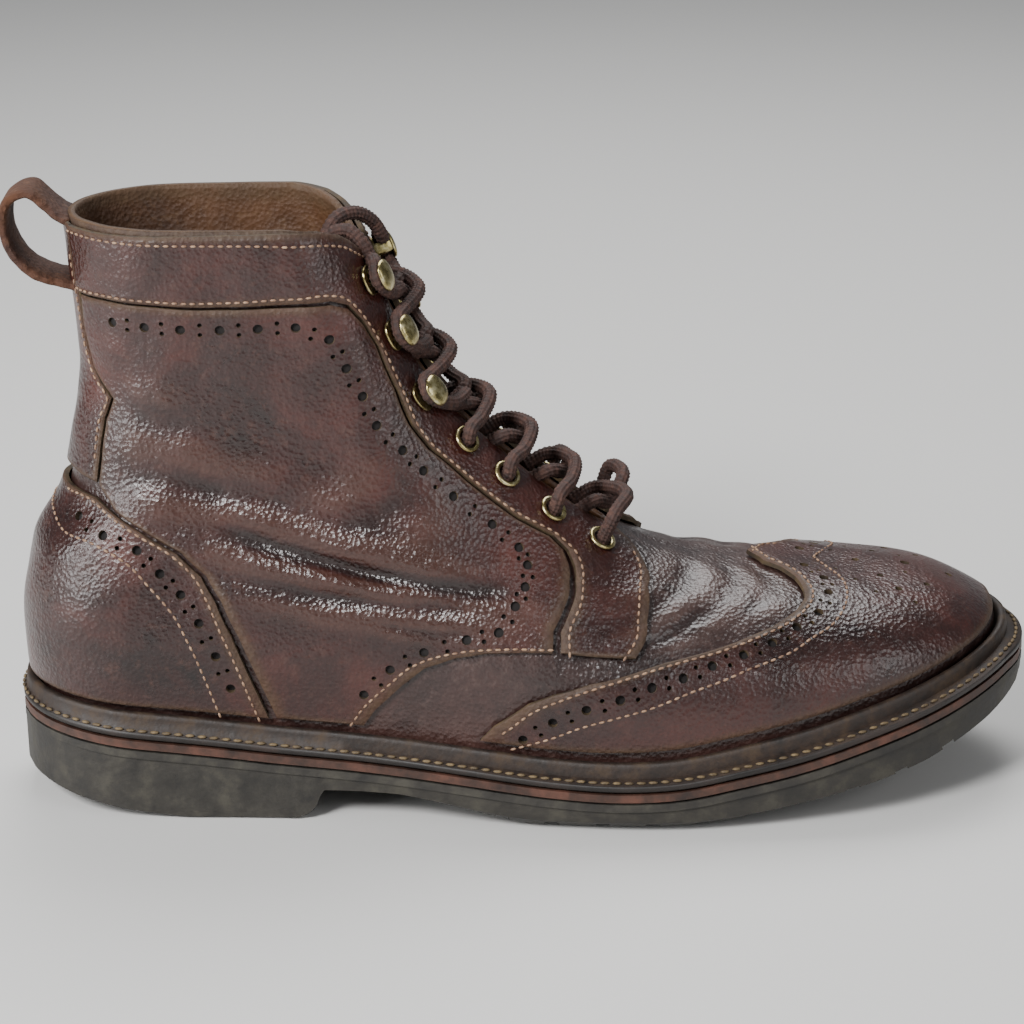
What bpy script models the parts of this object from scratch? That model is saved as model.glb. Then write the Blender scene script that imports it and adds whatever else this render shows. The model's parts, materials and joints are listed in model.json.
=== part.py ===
"""Brogue boot, right foot: laced wing-tip ankle boot on a storm welt and a rubber unit sole.

Metres, +Z up.  +X points to the toe, +Y to the inner side of the foot.
The origin is on the floor, in the middle of the heel's flat tread.
"""
import math

import bmesh
import bpy
import numpy as np
from mathutils import Matrix, Vector
from mathutils.geometry import delaunay_2d_cdt

# Driving sizes
LAST_LENGTH = 0.301        # heel to toe of the upper at the feather line
HALF_BALL = 0.050          # half width of the upper at the ball of the foot
HEEL_SEAT = 0.033          # height of the feather line beside the heel
SHAFT = 0.149              # from the heel seat up to the collar
HEEL_TREAD_X = 0.068       # middle of the heel's flat tread, ahead of the last's heel

WALL = 0.0020              # upper leather with its lining
BASE_DEPTH = 0.0009        # the upper's outer face lies this far under the form's surface
LIFT = 0.0008              # under face of an overlay, over the upper's outer face
OVERLAY = 0.0012           # quarters, backstay
RAISED = 0.0018            # toe cap, counter, collar and facings
GAP = 0.0003               # between solids that touch
LAYER_GAP = 0.0007         # between the long layers of the sole

BEAD_HEIGHT = 0.0008       # top of the storm welt's bead over the feather line
BEAD_WIDTH = 0.0029
WELT_DROP = 0.0048         # welt's outer top edge under the feather line
WELT_THICK = 0.0020
MIDSOLE_THICK = 0.0025
INSOLE_TOP = 0.0015        # insole's top under the feather line
INSOLE_PLAY = 0.0012       # between the insole's edge and the upper's wall
SHOULDER = 0.0024          # height of the rubber sole's upper strip
SHOULDER_STEP = 0.0008     # how far the rubber's wall steps in below it
WALL_TAPER = 0.0006

LUG_DEPTH = 0.0026
LUG_GROOVE = 0.0040
LUG_PITCH = 0.0152
LUG_OVERRUN = 0.010
LUG_REACH = 0.016          # how far a side groove runs in from the sole's edge
CENTRE_GROOVE = 0.030      # length of a groove in the tread's middle
FIRST_GROOVE_X = 0.1445
GROOVE_COUNT = 10
HEEL_GROOVES_X = (0.047, 0.073)

TONGUE_THICK = 0.0022
TONGUE_PLAY = 0.0009       # between the tongue and the upper's lining
LOOP_WIDTH = 0.019
LOOP_THICK = 0.0030
LACE_D = 0.0046
LACE_START = 0.004         # round, from an eyelet's middle to its strand's end
LACE_RISE = 0.030          # up, how far a strand climbs to the centre line
LACE_RISE_TOP = 0.020
LACE_BULGE = 0.0016
ROUND_LENGTH = 0.135       # leather beside the slit from the heel seam to the centre line
EYELET_R = 0.0044
EYELET_HOLE_R = 0.0028
EYELET_HEIGHT = 0.0011
HOOK_WIDTH = 0.0078
HOOK_REACH = 0.0044        # half length of a hook's base and head
HOOK_HEIGHT = 0.0062
HOOK_PLATE = 0.0010

# The last, as shares of the sizes above
FEATHER = np.array([       # along, height / HEEL_SEAT
    (0.00, 1.12), (0.05, 1.08), (0.10, 1.03), (0.18, 0.955), (0.25, 0.885), (0.35, 0.815), (0.45, 0.73),
    (0.53, 0.655), (0.60, 0.63), (0.66, 0.66), (0.72, 0.76), (0.78, 0.87), (0.85, 1.04), (0.92, 1.20),
    (1.00, 1.40)])
CENTRE = np.array([        # along, centre line's offset / HALF_BALL
    (0.00, 0.0), (0.20, 0.0), (0.45, -0.02), (0.62, 0.03), (0.75, 0.11), (0.88, 0.17), (1.00, 0.21)])
RIDGE = np.array([         # along, height of the front and top line / SHAFT
    (0.280, 1.520), (0.337, 1.2215), (0.362, 1.090), (0.384, 0.990), (0.409, 0.890), (0.4275, 0.835),
    (0.4475, 0.789), (0.495, 0.705), (0.530, 0.643), (0.585, 0.558), (0.627, 0.511), (0.661, 0.486),
    (0.700, 0.468), (0.762, 0.446), (0.800, 0.433), (0.853, 0.420), (0.900, 0.409), (0.930, 0.402),
    (1.000, 0.372)])
BACK = np.array([          # height over the seat / SHAFT, along
    (0.00, 0.004), (0.08, 0.001), (0.167, 0.001), (0.223, 0.003), (0.289, 0.010), (0.339, 0.018),
    (0.369, 0.027), (0.403, 0.039), (0.43, 0.046), (0.50, 0.053), (0.56, 0.058), (0.63, 0.066),
    (0.69, 0.070), (0.75, 0.068), (0.83, 0.067), (0.92, 0.064), (1.00, 0.060)])
OUTER_SIDE = np.array([    # along, half width / HALF_BALL at the feather, joint, ankle and collar
    (0.00, 0.64, 0.68, 0.50, 0.60), (0.12, 0.66, 0.70, 0.54, 0.63), (0.25, 0.69, 0.74, 0.58, 0.65),
    (0.38, 0.76, 0.80, 0.60, 0.62), (0.50, 0.88, 0.92, 0.60, 0.60), (0.62, 1.00, 1.04, 0.60, 0.60),
    (0.74, 1.04, 1.06, 0.60, 0.60), (0.86, 0.98, 1.00, 0.60, 0.60), (1.00, 0.88, 0.90, 0.60, 0.60)])
INNER_SIDE = np.array([
    (0.00, 0.60, 0.64, 0.50, 0.60), (0.12, 0.60, 0.66, 0.54, 0.63), (0.25, 0.58, 0.68, 0.58, 0.65),
    (0.38, 0.58, 0.70, 0.60, 0.62), (0.50, 0.66, 0.76, 0.60, 0.60), (0.62, 0.82, 0.86, 0.60, 0.60),
    (0.74, 0.86, 0.89, 0.60, 0.60), (0.86, 0.80, 0.83, 0.60, 0.60), (1.00, 0.70, 0.73, 0.60, 0.60)])
LEVELS = (0.0, 0.14, 0.55, 1.0)   # heights of those four columns over the feather / SHAFT
TOE_ROUND = 0.20           # length of the toe's rounding seen from above / LAST_LENGTH
TOE_TOP_ROUND = 0.12       # and seen from the side
HEEL_ROUND = 0.115
TOP_DEPTH = 0.40           # depth over which a section rounds to the top line / SHAFT
COLLAR_AT = 0.337          # where the top line meets the collar's height, along
LEDGE = np.array([         # along, how far the sole stands out from the upper / HALF_BALL
    (0.00, 0.084), (0.12, 0.10), (0.38, 0.11), (0.50, 0.13), (0.62, 0.14), (0.74, 0.15), (0.86, 0.16),
    (1.00, 0.16)])
TREAD = np.array([         # along, height of the tread / HEEL_SEAT, further rise at the edge / HEEL_SEAT
    (-0.030, 0.300, 0.06), (0.000, 0.225, 0.06), (0.047, 0.130, 0.05), (0.100, 0.055, 0.04),
    (0.140, 0.015, 0.03), (0.166, 0.000, 0.02), (0.276, 0.000, 0.02), (0.288, 0.045, 0.02),
    (0.296, 0.130, 0.02), (0.300, 0.235, 0.02), (0.304, 0.285, 0.02), (0.342, 0.285, 0.02),
    (0.379, 0.262, 0.03), (0.405, 0.205, 0.05), (0.455, 0.100, 0.08), (0.490, 0.025, 0.10),
    (0.512, 0.000, 0.11), (0.650, 0.000, 0.11), (0.680, 0.016, 0.11), (0.704, 0.050, 0.10),
    (0.740, 0.105, 0.09), (0.797, 0.205, 0.08), (0.860, 0.330, 0.07), (0.910, 0.455, 0.06),
    (0.977, 0.680, 0.05), (1.030, 0.900, 0.04)])
EDGE_ROUND = 0.18          # part of the sole's half width over which the tread rises to its edge

# The pattern: shares round the boot (0 heel seam, 1 front line) and up it (0 feather, 1 collar)
SEAM = 0.003               # an overlay's edge stays this share inside its outline
THROAT = 0.491             # foot of the lacing slit on the front line
SLIT = np.array([          # up, round
    (0.491, 0.990), (0.50, 0.968), (0.52, 0.952), (0.55, 0.944), (0.60, 0.936), (0.68, 0.922),
    (0.77, 0.935), (0.85, 0.947), (0.92, 0.952), (1.00, 0.955)])
COLLAR_DIP = np.array([    # round, up
    (0.00, 1.0), (0.70, 1.0), (0.80, 0.995), (0.853, 0.987), (0.90, 0.973), (0.94, 0.955), (1.00, 0.930)])
COUNTER = ((0.336, 0.014), (0.337, 0.19), (0.333, 0.268), (0.324, 0.322), (0.296, 0.371), (0.241, 0.410),
           (0.196, 0.433), (0.155, 0.450), (0.08, 0.446), (0.00, 0.442))
BACKSTAY = ((0.160, 0.475), (0.168, 0.53), (0.173, 0.613), (0.190, 0.658), (0.135, 0.709), (0.119, 0.794),
            (0.103, 0.855), (0.110, 0.92), (0.120, 0.992))
COLLAR_SEAM = ((0.125, 0.854), (0.295, 0.867), (0.451, 0.878), (0.669, 0.899), (0.748, 0.903),
               (0.790, 0.896), (0.812, 0.872), (0.820, 0.842), (0.802, 0.779), (0.764, 0.721),
               (0.745, 0.672), (0.752, 0.615), (0.772, 0.544), (0.793, 0.507), (0.784, 0.479),
               (0.755, 0.444), (0.713, 0.398), (0.660, 0.327), (0.619, 0.269), (0.595, 0.217))
TAB_FRONT = ((0.643, 0.178), (0.672, 0.215), (0.701, 0.260), (0.761, 0.336), (0.830, 0.395),
             (0.875, 0.428), (0.925, 0.458), (0.952, 0.480))
QUARTER_FOOT = ((0.593, 0.215), (0.571, 0.218), (0.540, 0.210), (0.510, 0.189), (0.477, 0.152),
                (0.447, 0.102), (0.418, 0.050), (0.402, 0.014))
WING = ((0.472, 0.014), (0.490, 0.047), (0.528, 0.099), (0.554, 0.123), (0.589, 0.146), (0.654, 0.164),
        (0.721, 0.170), (0.767, 0.178), (0.812, 0.194), (0.851, 0.213), (0.879, 0.232), (0.912, 0.255),
        (0.940, 0.280), (0.958, 0.304), (1.000, 0.326))
TONGUE_HALF = 0.15         # half width of the tongue, round
TONGUE_SPAN = (0.425, 0.950)
EYELETS = ((0.841, 0.681), (0.843, 0.616), (0.855, 0.549), (0.863, 0.481))
HOOKS = ((0.897, 0.920), (0.884, 0.848), (0.856, 0.764))
# The pull loop's centre line: out from the heel seam, height under the collar, both / SHAFT
LOOP = ((0.000, 0.016), (0.010, -0.016), (0.044, -0.043), (0.086, -0.024), (0.099, 0.026),
        (0.087, 0.082), (0.055, 0.119), (0.022, 0.134), (0.004, 0.156), (0.000, 0.182))

STATIONS = (0.006, 0.020, 0.042, 0.066, 0.100, 0.135, 0.166, 0.200, 0.240, 0.276, 0.288, 0.296, 0.300,
            0.304, 0.342, 0.379, 0.405, 0.455, 0.490, 0.512, 0.546, 0.600, 0.650, 0.680, 0.704, 0.740,
            0.797, 0.830, 0.860, 0.890, 0.915, 0.940, 0.960, 0.976, 0.990, 0.998)


def spline(rows, columns, at):
    """Smooth curve through the rows of a table (cubic, slopes from the neighbours)."""
    at = np.asarray(at, float)
    slope = np.gradient(columns, rows)
    i = np.clip(np.searchsorted(rows, at) - 1, 0, len(rows) - 2)
    step = rows[i + 1] - rows[i]
    t = np.clip((at - rows[i]) / step, 0, 1)
    return ((1 + 2 * t) * (1 - t) ** 2 * columns[i] + t * (1 - t) ** 2 * step * slope[i]
            + t * t * (3 - 2 * t) * columns[i + 1] + t * t * (t - 1) * step * slope[i + 1])


def feather_z(x):
    return spline(FEATHER[:, 0], FEATHER[:, 1], x / LAST_LENGTH) * HEEL_SEAT


def centre_y(x):
    return spline(CENTRE[:, 0], CENTRE[:, 1], np.clip(x / LAST_LENGTH, 0, 1)) * HALF_BALL


def back_x(z):
    return spline(BACK[:, 0], BACK[:, 1], (z - HEEL_SEAT) / SHAFT) * LAST_LENGTH


def rounding(p, power):
    return (1 - (1 - np.clip(p, 0, 1)) ** power) ** (1 / power)


def ridge_z(x):
    """Height of the line over the toe, the instep and up the front."""
    share = x / LAST_LENGTH
    top = spline(RIDGE[:, 0], RIDGE[:, 1], share) * SHAFT
    foot = feather_z(x)
    return foot + (top - foot) * rounding((1 - share) / TOE_TOP_ROUND, 2.1)


def half_width(x, z, side_table):
    """Half width of the last at a place in the side view."""
    share = np.clip(x / LAST_LENGTH, 0, 1)
    foot = feather_z(x)
    width = [spline(side_table[:, 0], side_table[:, k], share) for k in (1, 2, 3, 4)]
    level = np.clip((z - foot) / SHAFT, 0, 1)
    columns = np.stack(width, -1)
    flat_columns = columns.reshape(-1, 4)
    flat_level = level.reshape(-1)
    body = np.array([spline(np.array(LEVELS), row, v) for row, v in zip(flat_columns, flat_level)])
    body = body.reshape(level.shape) * HALF_BALL
    plan = rounding((1 - share) / TOE_ROUND, 2.15)
    ridge = ridge_z(x)
    rise = np.maximum(ridge - foot, 1e-5)
    depth = (rise ** -6.0 + (TOP_DEPTH * SHAFT) ** -6.0) ** (-1 / 6)
    top = rounding((ridge - z) / depth, 2.45)
    back = rounding((x - back_x(z)) / (HEEL_ROUND * LAST_LENGTH), 2.1)
    return body * plan * top * back


def arc_shares(x, z):
    run = np.concatenate([[0], np.cumsum(np.hypot(np.diff(x), np.diff(z)))])
    return run / run[-1]


def front_curve(samples=900):
    """From the toe's tip over the instep to the collar."""
    t = np.linspace(0, 1, samples)
    x = LAST_LENGTH * (1 - (1 - COLLAR_AT) * (1 - np.cos(t * math.pi / 2)))
    z = ridge_z(x)
    z[0] = feather_z(LAST_LENGTH)
    return x, z, arc_shares(x, z)


def back_curve(samples=700):
    foot = HEEL_SEAT * FEATHER[0, 1]
    z = np.linspace(foot, HEEL_SEAT + SHAFT, samples)
    x = back_x(z)
    return x, z, arc_shares(x, z)


FRONT_X, FRONT_Z, FRONT_SHARE = front_curve()
BACK_X, BACK_Z, BACK_SHARE = back_curve()


def form(u, v):
    """Points of the boot's outer form, in metres from the last's heel.

    u goes round from the heel seam (0) along the outer side to the front line (1) and back
    along the inner side (1 to 2, or 0 to -1).  v goes up from the feather line (0) to the collar (1).
    """
    u, v = np.broadcast_arrays(np.asarray(u, float), np.asarray(v, float))
    around = (u + 1) % 2 - 1
    part = (1 - np.cos(math.pi * np.abs(around))) / 2
    rise = np.clip(v, 0, 1)
    back = np.interp(rise, BACK_SHARE, BACK_X), np.interp(rise, BACK_SHARE, BACK_Z)
    front = np.interp(rise, FRONT_SHARE, FRONT_X), np.interp(rise, FRONT_SHARE, FRONT_Z)
    x = back[0] + (front[0] - back[0]) * part
    z = back[1] + (front[1] - back[1]) * part
    foot_x = BACK_X[0] + (LAST_LENGTH - BACK_X[0]) * part
    foot_line = BACK_Z[0] + (FRONT_Z[0] - BACK_Z[0]) * part
    z = z + (1 - rise) ** 3 * (feather_z(foot_x) - foot_line)
    level = np.maximum(z, feather_z(x))
    outer = -half_width(x, level, OUTER_SIDE)
    inner = half_width(x, level, INNER_SIDE)
    y = centre_y(x) + np.where(around >= 0, outer, inner)
    return np.stack([x, y, z], -1)


def unit(vectors):
    return vectors / np.linalg.norm(vectors, axis=-1, keepdims=True)


def normal(u, v, turn=0.012, step=0.004):
    """Outward normal of the form."""
    along = form(u + turn, v) - form(u - turn, v)
    up = form(u, np.minimum(v + step, 1)) - form(u, np.maximum(v - step, 0))
    return unit(np.cross(along, up))


def place(u, v, offset):
    """A point over (or under) the form's surface, in the part's frame."""
    u, v = np.broadcast_arrays(np.asarray(u, float), np.asarray(v, float))
    return form(u, v) + normal(u, v) * offset - [HEEL_TREAD_X, 0, 0]


def material(name, rgb, roughness, metallic=0.0):
    mat = bpy.data.materials.new(name)
    mat.use_nodes = True
    shader = mat.node_tree.nodes["Principled BSDF"]
    shader.inputs["Base Color"].default_value = (*rgb, 1)
    shader.inputs["Roughness"].default_value = roughness
    shader.inputs["Metallic"].default_value = metallic
    return mat


def new_object(name, verts, faces, mat, sharp=40):
    mesh = bpy.data.meshes.new(name)
    mesh.from_pydata([tuple(p) for p in verts], [], faces)
    mesh.update()
    obj = bpy.data.objects.new(name, mesh)
    PARTS.objects.link(obj)
    mesh.materials.append(mat)
    mesh.shade_smooth()
    mesh.set_sharp_from_angle(angle=math.radians(sharp))
    return obj


def solidify(obj, thickness, offset):
    mod = obj.modifiers.new("Thickness", "SOLIDIFY")
    mod.thickness = thickness
    mod.offset = offset
    return obj


def densify(outline, step):
    """Points along a closed outline, no further apart than one step."""
    points = []
    for (a, b), (c, d) in zip(outline, outline[1:] + outline[:1]):
        count = max(1, math.ceil(math.hypot(c - a, d - b) / step))
        points += [(a + (c - a) * k / count, b + (d - b) * k / count) for k in range(count)]
    return points


def inset(outline, share):
    """A counter-clockwise outline moved inward by one distance on every side."""
    moved = []
    for before, here, after in zip(outline[-1:] + outline[:-1], outline, outline[1:] + outline[:1]):
        one = (Vector(here) - Vector(before)).normalized()
        two = (Vector(after) - Vector(here)).normalized()
        first = Vector((-one.y, one.x))
        second = Vector((-two.y, two.x))
        both = (first + second).normalized()
        moved.append(tuple(Vector(here) + both * (share / max(0.5, both.dot(first)))))
    return moved


def inside(point, outline):
    x, y = point
    hit = False
    for (a, b), (c, d) in zip(outline, outline[1:] + outline[:1]):
        if (b > y) != (d > y) and x < (c - a) * (y - b) / (d - b) + a:
            hit = not hit
    return hit


def edge_distance(point, outline):
    p = Vector(point)
    best = 1.0
    for a, b in zip(outline, outline[1:] + outline[:1]):
        a, b = Vector(a), Vector(b)
        run = b - a
        t = min(1, max(0, (p - a).dot(run) / max(run.dot(run), 1e-12)))
        best = min(best, (a + run * t - p).length)
    return best


def overlay(name, outline, thickness, mat, step=0.05):
    """A piece of leather with the given pattern outline, lying over the upper."""
    border = densify(inset([tuple(p) for p in outline], SEAM), step)
    us = [p[0] for p in border]
    grid = [(i * step, j * step)
            for i in range(math.floor(min(us) / step), math.ceil(max(us) / step) + 1)
            for j in range(int(1 / step) + 1)]
    fill = [p for p in grid if inside(p, border) and edge_distance(p, border) > step * 0.4]
    points = [Vector(p) for p in border + fill]
    loop = list(range(len(border)))
    edges = [(k, (k + 1) % len(border)) for k in loop]
    verts, _, faces, _, _, _ = delaunay_2d_cdt(points, edges, [loop], 1, 1e-7)
    flat = np.array([tuple(p) for p in verts])
    solid = place(flat[:, 0], flat[:, 1], LIFT - BASE_DEPTH)
    obj = new_object(name, solid, [tuple(f) for f in faces], mat)
    return solidify(obj, thickness, 1.0)


def mirrored(outline):
    """The same outline on the inner side of the foot, still counter-clockwise."""
    return [(-u, v) for u, v in reversed(outline)]


def quarter_outline():
    """Counter's edge, foot edge, the collar's seam and the backstay's edge."""
    foot = ((COUNTER[0][0], COUNTER[0][1]),) + tuple(reversed(QUARTER_FOOT))
    behind = tuple(p for p in reversed(BACKSTAY) if p[1] < COLLAR_SEAM[0][1])
    heel = tuple(p for p in reversed(COUNTER[1:]) if p[0] >= BACKSTAY[0][0])
    return foot + tuple(reversed(COLLAR_SEAM)) + behind + heel


def collar_outline():
    """Collar band and facing in one piece, down to the tab on the vamp."""
    slit = tuple((u, v) for v, u in SLIT if TAB_FRONT[-1][1] + 0.015 < v < COLLAR_DIP[-2][1])
    top = tuple((u, v) for u, v in reversed(COLLAR_DIP[1:-1]))
    behind = tuple(p for p in reversed(BACKSTAY) if p[1] > COLLAR_SEAM[0][1])
    return COLLAR_SEAM + TAB_FRONT + slit + top + behind


def upper_grid(columns=19, rows=25):
    """The hollow upper: closed round the foot, slit at the throat, open at collar and sole."""
    levels = sorted(set(np.round(np.linspace(0, 1, rows), 4)) | {THROAT, THROAT + 0.010, THROAT + 0.030})
    levels = [v for v in levels if abs(v - THROAT) < 1e-9 or not 1e-9 < abs(v - THROAT) < 0.009]
    verts = []
    rings = []

    def ring(v, drop):
        edge = 1.0 if v <= THROAT else float(np.interp(v, SLIT[:, 0], SLIT[:, 1]))
        shares = np.linspace(0, 1, columns) * edge
        dip = np.interp(shares, COLLAR_DIP[:, 0], COLLAR_DIP[:, 1]) - 1
        up = v + dip * np.clip((v - 0.8) / 0.2, 0, 1) ** 2
        outer = place(shares, up, -BASE_DEPTH)
        inner = place(-shares, up, -BASE_DEPTH)
        start = len(verts)
        for k, point in enumerate(outer):
            verts.append((point[0], point[1], point[2] - drop))
        closed = edge == 1.0
        last = columns - 1 if closed else columns
        for k in range(1, last):
            verts.append((inner[k][0], inner[k][1], inner[k][2] - drop))
        left = [start + k for k in range(columns)]
        right = [start] + [start + columns + k for k in range(last - 1)]
        if closed:
            right.append(start + columns - 1)
        rings.append((left, right))

    stack = WELT_DROP + WELT_THICK
    ring(0.0, stack)
    ring(0.0, stack / 2)
    for v in levels:
        ring(float(v), 0.0)
    faces = []
    for low, high in zip(rings, rings[1:]):
        for k in range(columns - 1):
            faces.append((low[0][k], low[0][k + 1], high[0][k + 1], high[0][k]))
            faces.append((low[1][k + 1], low[1][k], high[1][k], high[1][k + 1]))
    return verts, faces


def perimeter(shares, distance):
    """Points of the feather line set out sideways by a distance, over the given shares round."""
    shares = np.asarray(shares, float)
    turn = 0.012
    run = form(shares + turn, 0.0) - form(shares - turn, 0.0)
    out = unit(np.stack([run[:, 1], -run[:, 0], np.zeros(len(shares))], -1))
    return form(shares, 0.0) + out * np.asarray(distance).reshape(-1, 1) - [HEEL_TREAD_X, 0, 0]


def ledge(x):
    return spline(LEDGE[:, 0], LEDGE[:, 1], np.clip(x / LAST_LENGTH, 0, 1)) * HALF_BALL


def station_shares():
    """Shares round the boot of the sole's cross sections."""
    along = np.array(STATIONS) * LAST_LENGTH
    part = (along - BACK_X[0]) / (LAST_LENGTH - BACK_X[0])
    return np.arccos(1 - 2 * np.clip(part, 0.001, 0.9995)) / math.pi


def sole_sections(distance):
    """Outer and inner edge points of each cross section, on the feather line's height."""
    shares = station_shares()
    base = form(shares, 0.0)
    outer = perimeter(shares, distance(base[:, 0]))
    inner = perimeter(-shares, distance(base[:, 0]))
    outer[:, 2] = feather_z(outer[:, 0] + HEEL_TREAD_X)
    inner[:, 2] = feather_z(inner[:, 0] + HEEL_TREAD_X)
    return outer, inner


def loft(name, sections, mat, sharp=35):
    """A closed solid through rings of points, all with the same count."""
    count = len(sections[0])
    verts = [p for ring in sections for p in ring]
    faces = [tuple(reversed(range(count)))]
    for k in range(len(sections) - 1):
        a, b = k * count, (k + 1) * count
        faces += [(a + i, a + (i + 1) % count, b + (i + 1) % count, b + i) for i in range(count)]
    faces.append(tuple(range(len(verts) - count, len(verts))))
    return new_object(name, verts, faces, mat, sharp)


def slab(name, distance, top, bottom, mat):
    """A flat layer of the sole, following the feather line's rise."""
    sections = []
    for outer, inner in zip(*sole_sections(distance)):
        sections.append([(*inner[:2], inner[2] - top), (*outer[:2], outer[2] - top),
                         (*outer[:2], outer[2] - bottom), (*inner[:2], inner[2] - bottom)])
    return loft(name, sections, mat)


def tread(x, column):
    return np.interp((x + HEEL_TREAD_X) / LAST_LENGTH, TREAD[:, 0], TREAD[:, column]) * HEEL_SEAT


def outsole(mat):
    top = UNDER_UPPER + MIDSOLE_THICK + 2 * LAYER_GAP
    sections = []
    for outer, inner in zip(*sole_sections(ledge)):
        half = np.linalg.norm(outer - inner) / 2
        across = (inner - outer) / (2 * half)
        high = (outer[2] + inner[2]) / 2 - top
        middle_x = (outer[0] + inner[0]) / 2
        low = float(tread(middle_x, 1))
        edge = low + float(tread(middle_x, 2))
        rim = SHOULDER_STEP + WALL_TAPER
        ring = []

        def add(share, inset, z):
            side = outer if share < 0 else inner
            point = side - across * share * inset
            ring.append((point[0], point[1], z))

        add(1, 0.0, high)
        add(-1, 0.0, high)
        add(-1, 0.0, high - SHOULDER)
        add(-1, SHOULDER_STEP, high - SHOULDER - SHOULDER_STEP / 2)
        add(-1, rim, edge)
        add(-1, rim + half * EDGE_ROUND * 0.35, low + (edge - low) * 0.35)
        add(-1, rim + half * EDGE_ROUND, low)
        add(1, rim + half * EDGE_ROUND, low)
        add(1, rim + half * EDGE_ROUND * 0.35, low + (edge - low) * 0.35)
        add(1, rim, edge)
        add(1, SHOULDER_STEP, high - SHOULDER - SHOULDER_STEP / 2)
        add(1, 0.0, high - SHOULDER)
        sections.append(ring)
    return loft("outsole", sections, mat)


def groove(x, y, length):
    """One tread groove's cutter, square to the tread's slope there."""
    run = 0.004
    slope = math.atan2(float(tread(x + run, 1) - tread(x - run, 1)), 2 * run)
    height = 4 * LUG_DEPTH
    matrix = (Matrix.Translation((x, y, float(tread(x, 1)))) @ Matrix.Rotation(-slope, 4, "Y")
              @ Matrix.Translation((0, 0, LUG_DEPTH - height / 2))
              @ Matrix.Diagonal((LUG_GROOVE, length, height, 1)))
    return matrix


def cut_tread(sole):
    outer, inner = sole_sections(ledge)
    cuts = []
    for k in range(GROOVE_COUNT):
        x = FIRST_GROOVE_X - HEEL_TREAD_X + k * LUG_PITCH
        for line, sign in ((outer, -1), (inner, 1)):
            edge = float(np.interp(x, line[:, 0], line[:, 1]))
            reach = LUG_REACH + LUG_OVERRUN
            cuts.append(groove(x, edge + sign * (reach / 2 - LUG_REACH), reach))
        if k < GROOVE_COUNT - 1:
            between = x + LUG_PITCH / 2
            cuts.append(groove(between, float(centre_y(between + HEEL_TREAD_X)), CENTRE_GROOVE))
    for x in HEEL_GROOVES_X:
        cuts.append(groove(x - HEEL_TREAD_X, 0.0, CENTRE_GROOVE))
    bm = bmesh.new()
    for matrix in cuts:
        bmesh.ops.create_cube(bm, size=1.0, matrix=matrix)
    mesh = bpy.data.meshes.new("tread_cutter")
    bm.to_mesh(mesh)
    bm.free()
    cutter = bpy.data.objects.new("tread_cutter", mesh)
    CUTTERS.objects.link(cutter)
    cutter.hide_render = True
    cutter.display_type = "WIRE"
    mod = sole.modifiers.new("Grooves", "BOOLEAN")
    mod.operation = "DIFFERENCE"
    mod.object = cutter
    mod.solver = "EXACT"


def welt(mat, count=34):
    """The storm welt: a stitched ledge with a bead against the upper, all round."""
    shares = (1 - np.cos(np.linspace(0, math.pi, count))) / 2 * 0.4 + np.linspace(0, 1, count) * 0.6
    around = np.concatenate([shares, 2 - shares[-2:0:-1]])
    reach = ledge(form(around, 0.0)[:, 0])
    inner = LAYER_GAP + GAP - BASE_DEPTH
    bottom = -(WELT_DROP + WELT_THICK)
    profile = [(inner, 0.0, bottom), (0.0, 1.0, bottom), (0.0, 1.0, -WELT_DROP),
               (BEAD_WIDTH + 0.0004, 0.0, -WELT_DROP + 0.0010), (BEAD_WIDTH, 0.0, -BEAD_HEIGHT),
               (BEAD_WIDTH * 0.7, 0.0, BEAD_HEIGHT * 0.7), (inner, 0.0, BEAD_HEIGHT)]
    rings = []
    for fixed, share, z in profile:
        points = perimeter(around, fixed + reach * share)
        points[:, 2] = feather_z(points[:, 0] + HEEL_TREAD_X) + z
        rings.append(points)
    count = len(profile)
    verts = [tuple(rings[i][k]) for k in range(len(around)) for i in range(count)]
    faces = []
    for k in range(len(around)):
        a, b = k * count, (k + 1) % len(around) * count
        faces += [(a + i, b + i, b + (i + 1) % count, a + (i + 1) % count) for i in range(count)]
    return new_object("welt", verts, faces, mat, 30)


def tube(name, points, radius, mat):
    curve = bpy.data.curves.new(name, "CURVE")
    curve.dimensions = "3D"
    curve.bevel_depth = radius
    curve.bevel_resolution = 2
    curve.use_fill_caps = True
    line = curve.splines.new("POLY")
    line.points.add(len(points) - 1)
    for target, point in zip(line.points, points):
        target.co = (*point, 1)
    obj = bpy.data.objects.new(name, curve)
    PARTS.objects.link(obj)
    curve.materials.append(mat)
    return obj


def smooth_path(points, count):
    """Evenly spaced points of a smooth curve through the given ones."""
    points = np.asarray(points, float)
    run = np.concatenate([[0], np.cumsum(np.linalg.norm(np.diff(points, axis=0), axis=1))])
    at = np.linspace(0, run[-1], count)
    return np.stack([spline(run, points[:, k], at) for k in range(3)], -1)


def frame_at(u, v, offset):
    """A matrix on the surface: Z outward, Y up the facing, X forward."""
    out = Vector(normal(np.array(u), np.array(v)))
    up = Vector(form(u, v + 0.01) - form(u, v - 0.01))
    up = (up - out * up.dot(out)).normalized()
    right = up.cross(out).normalized()
    where = Vector(place(u, v, offset))
    return Matrix.Translation(where) @ Matrix((right, up, out)).transposed().to_4x4()


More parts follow.
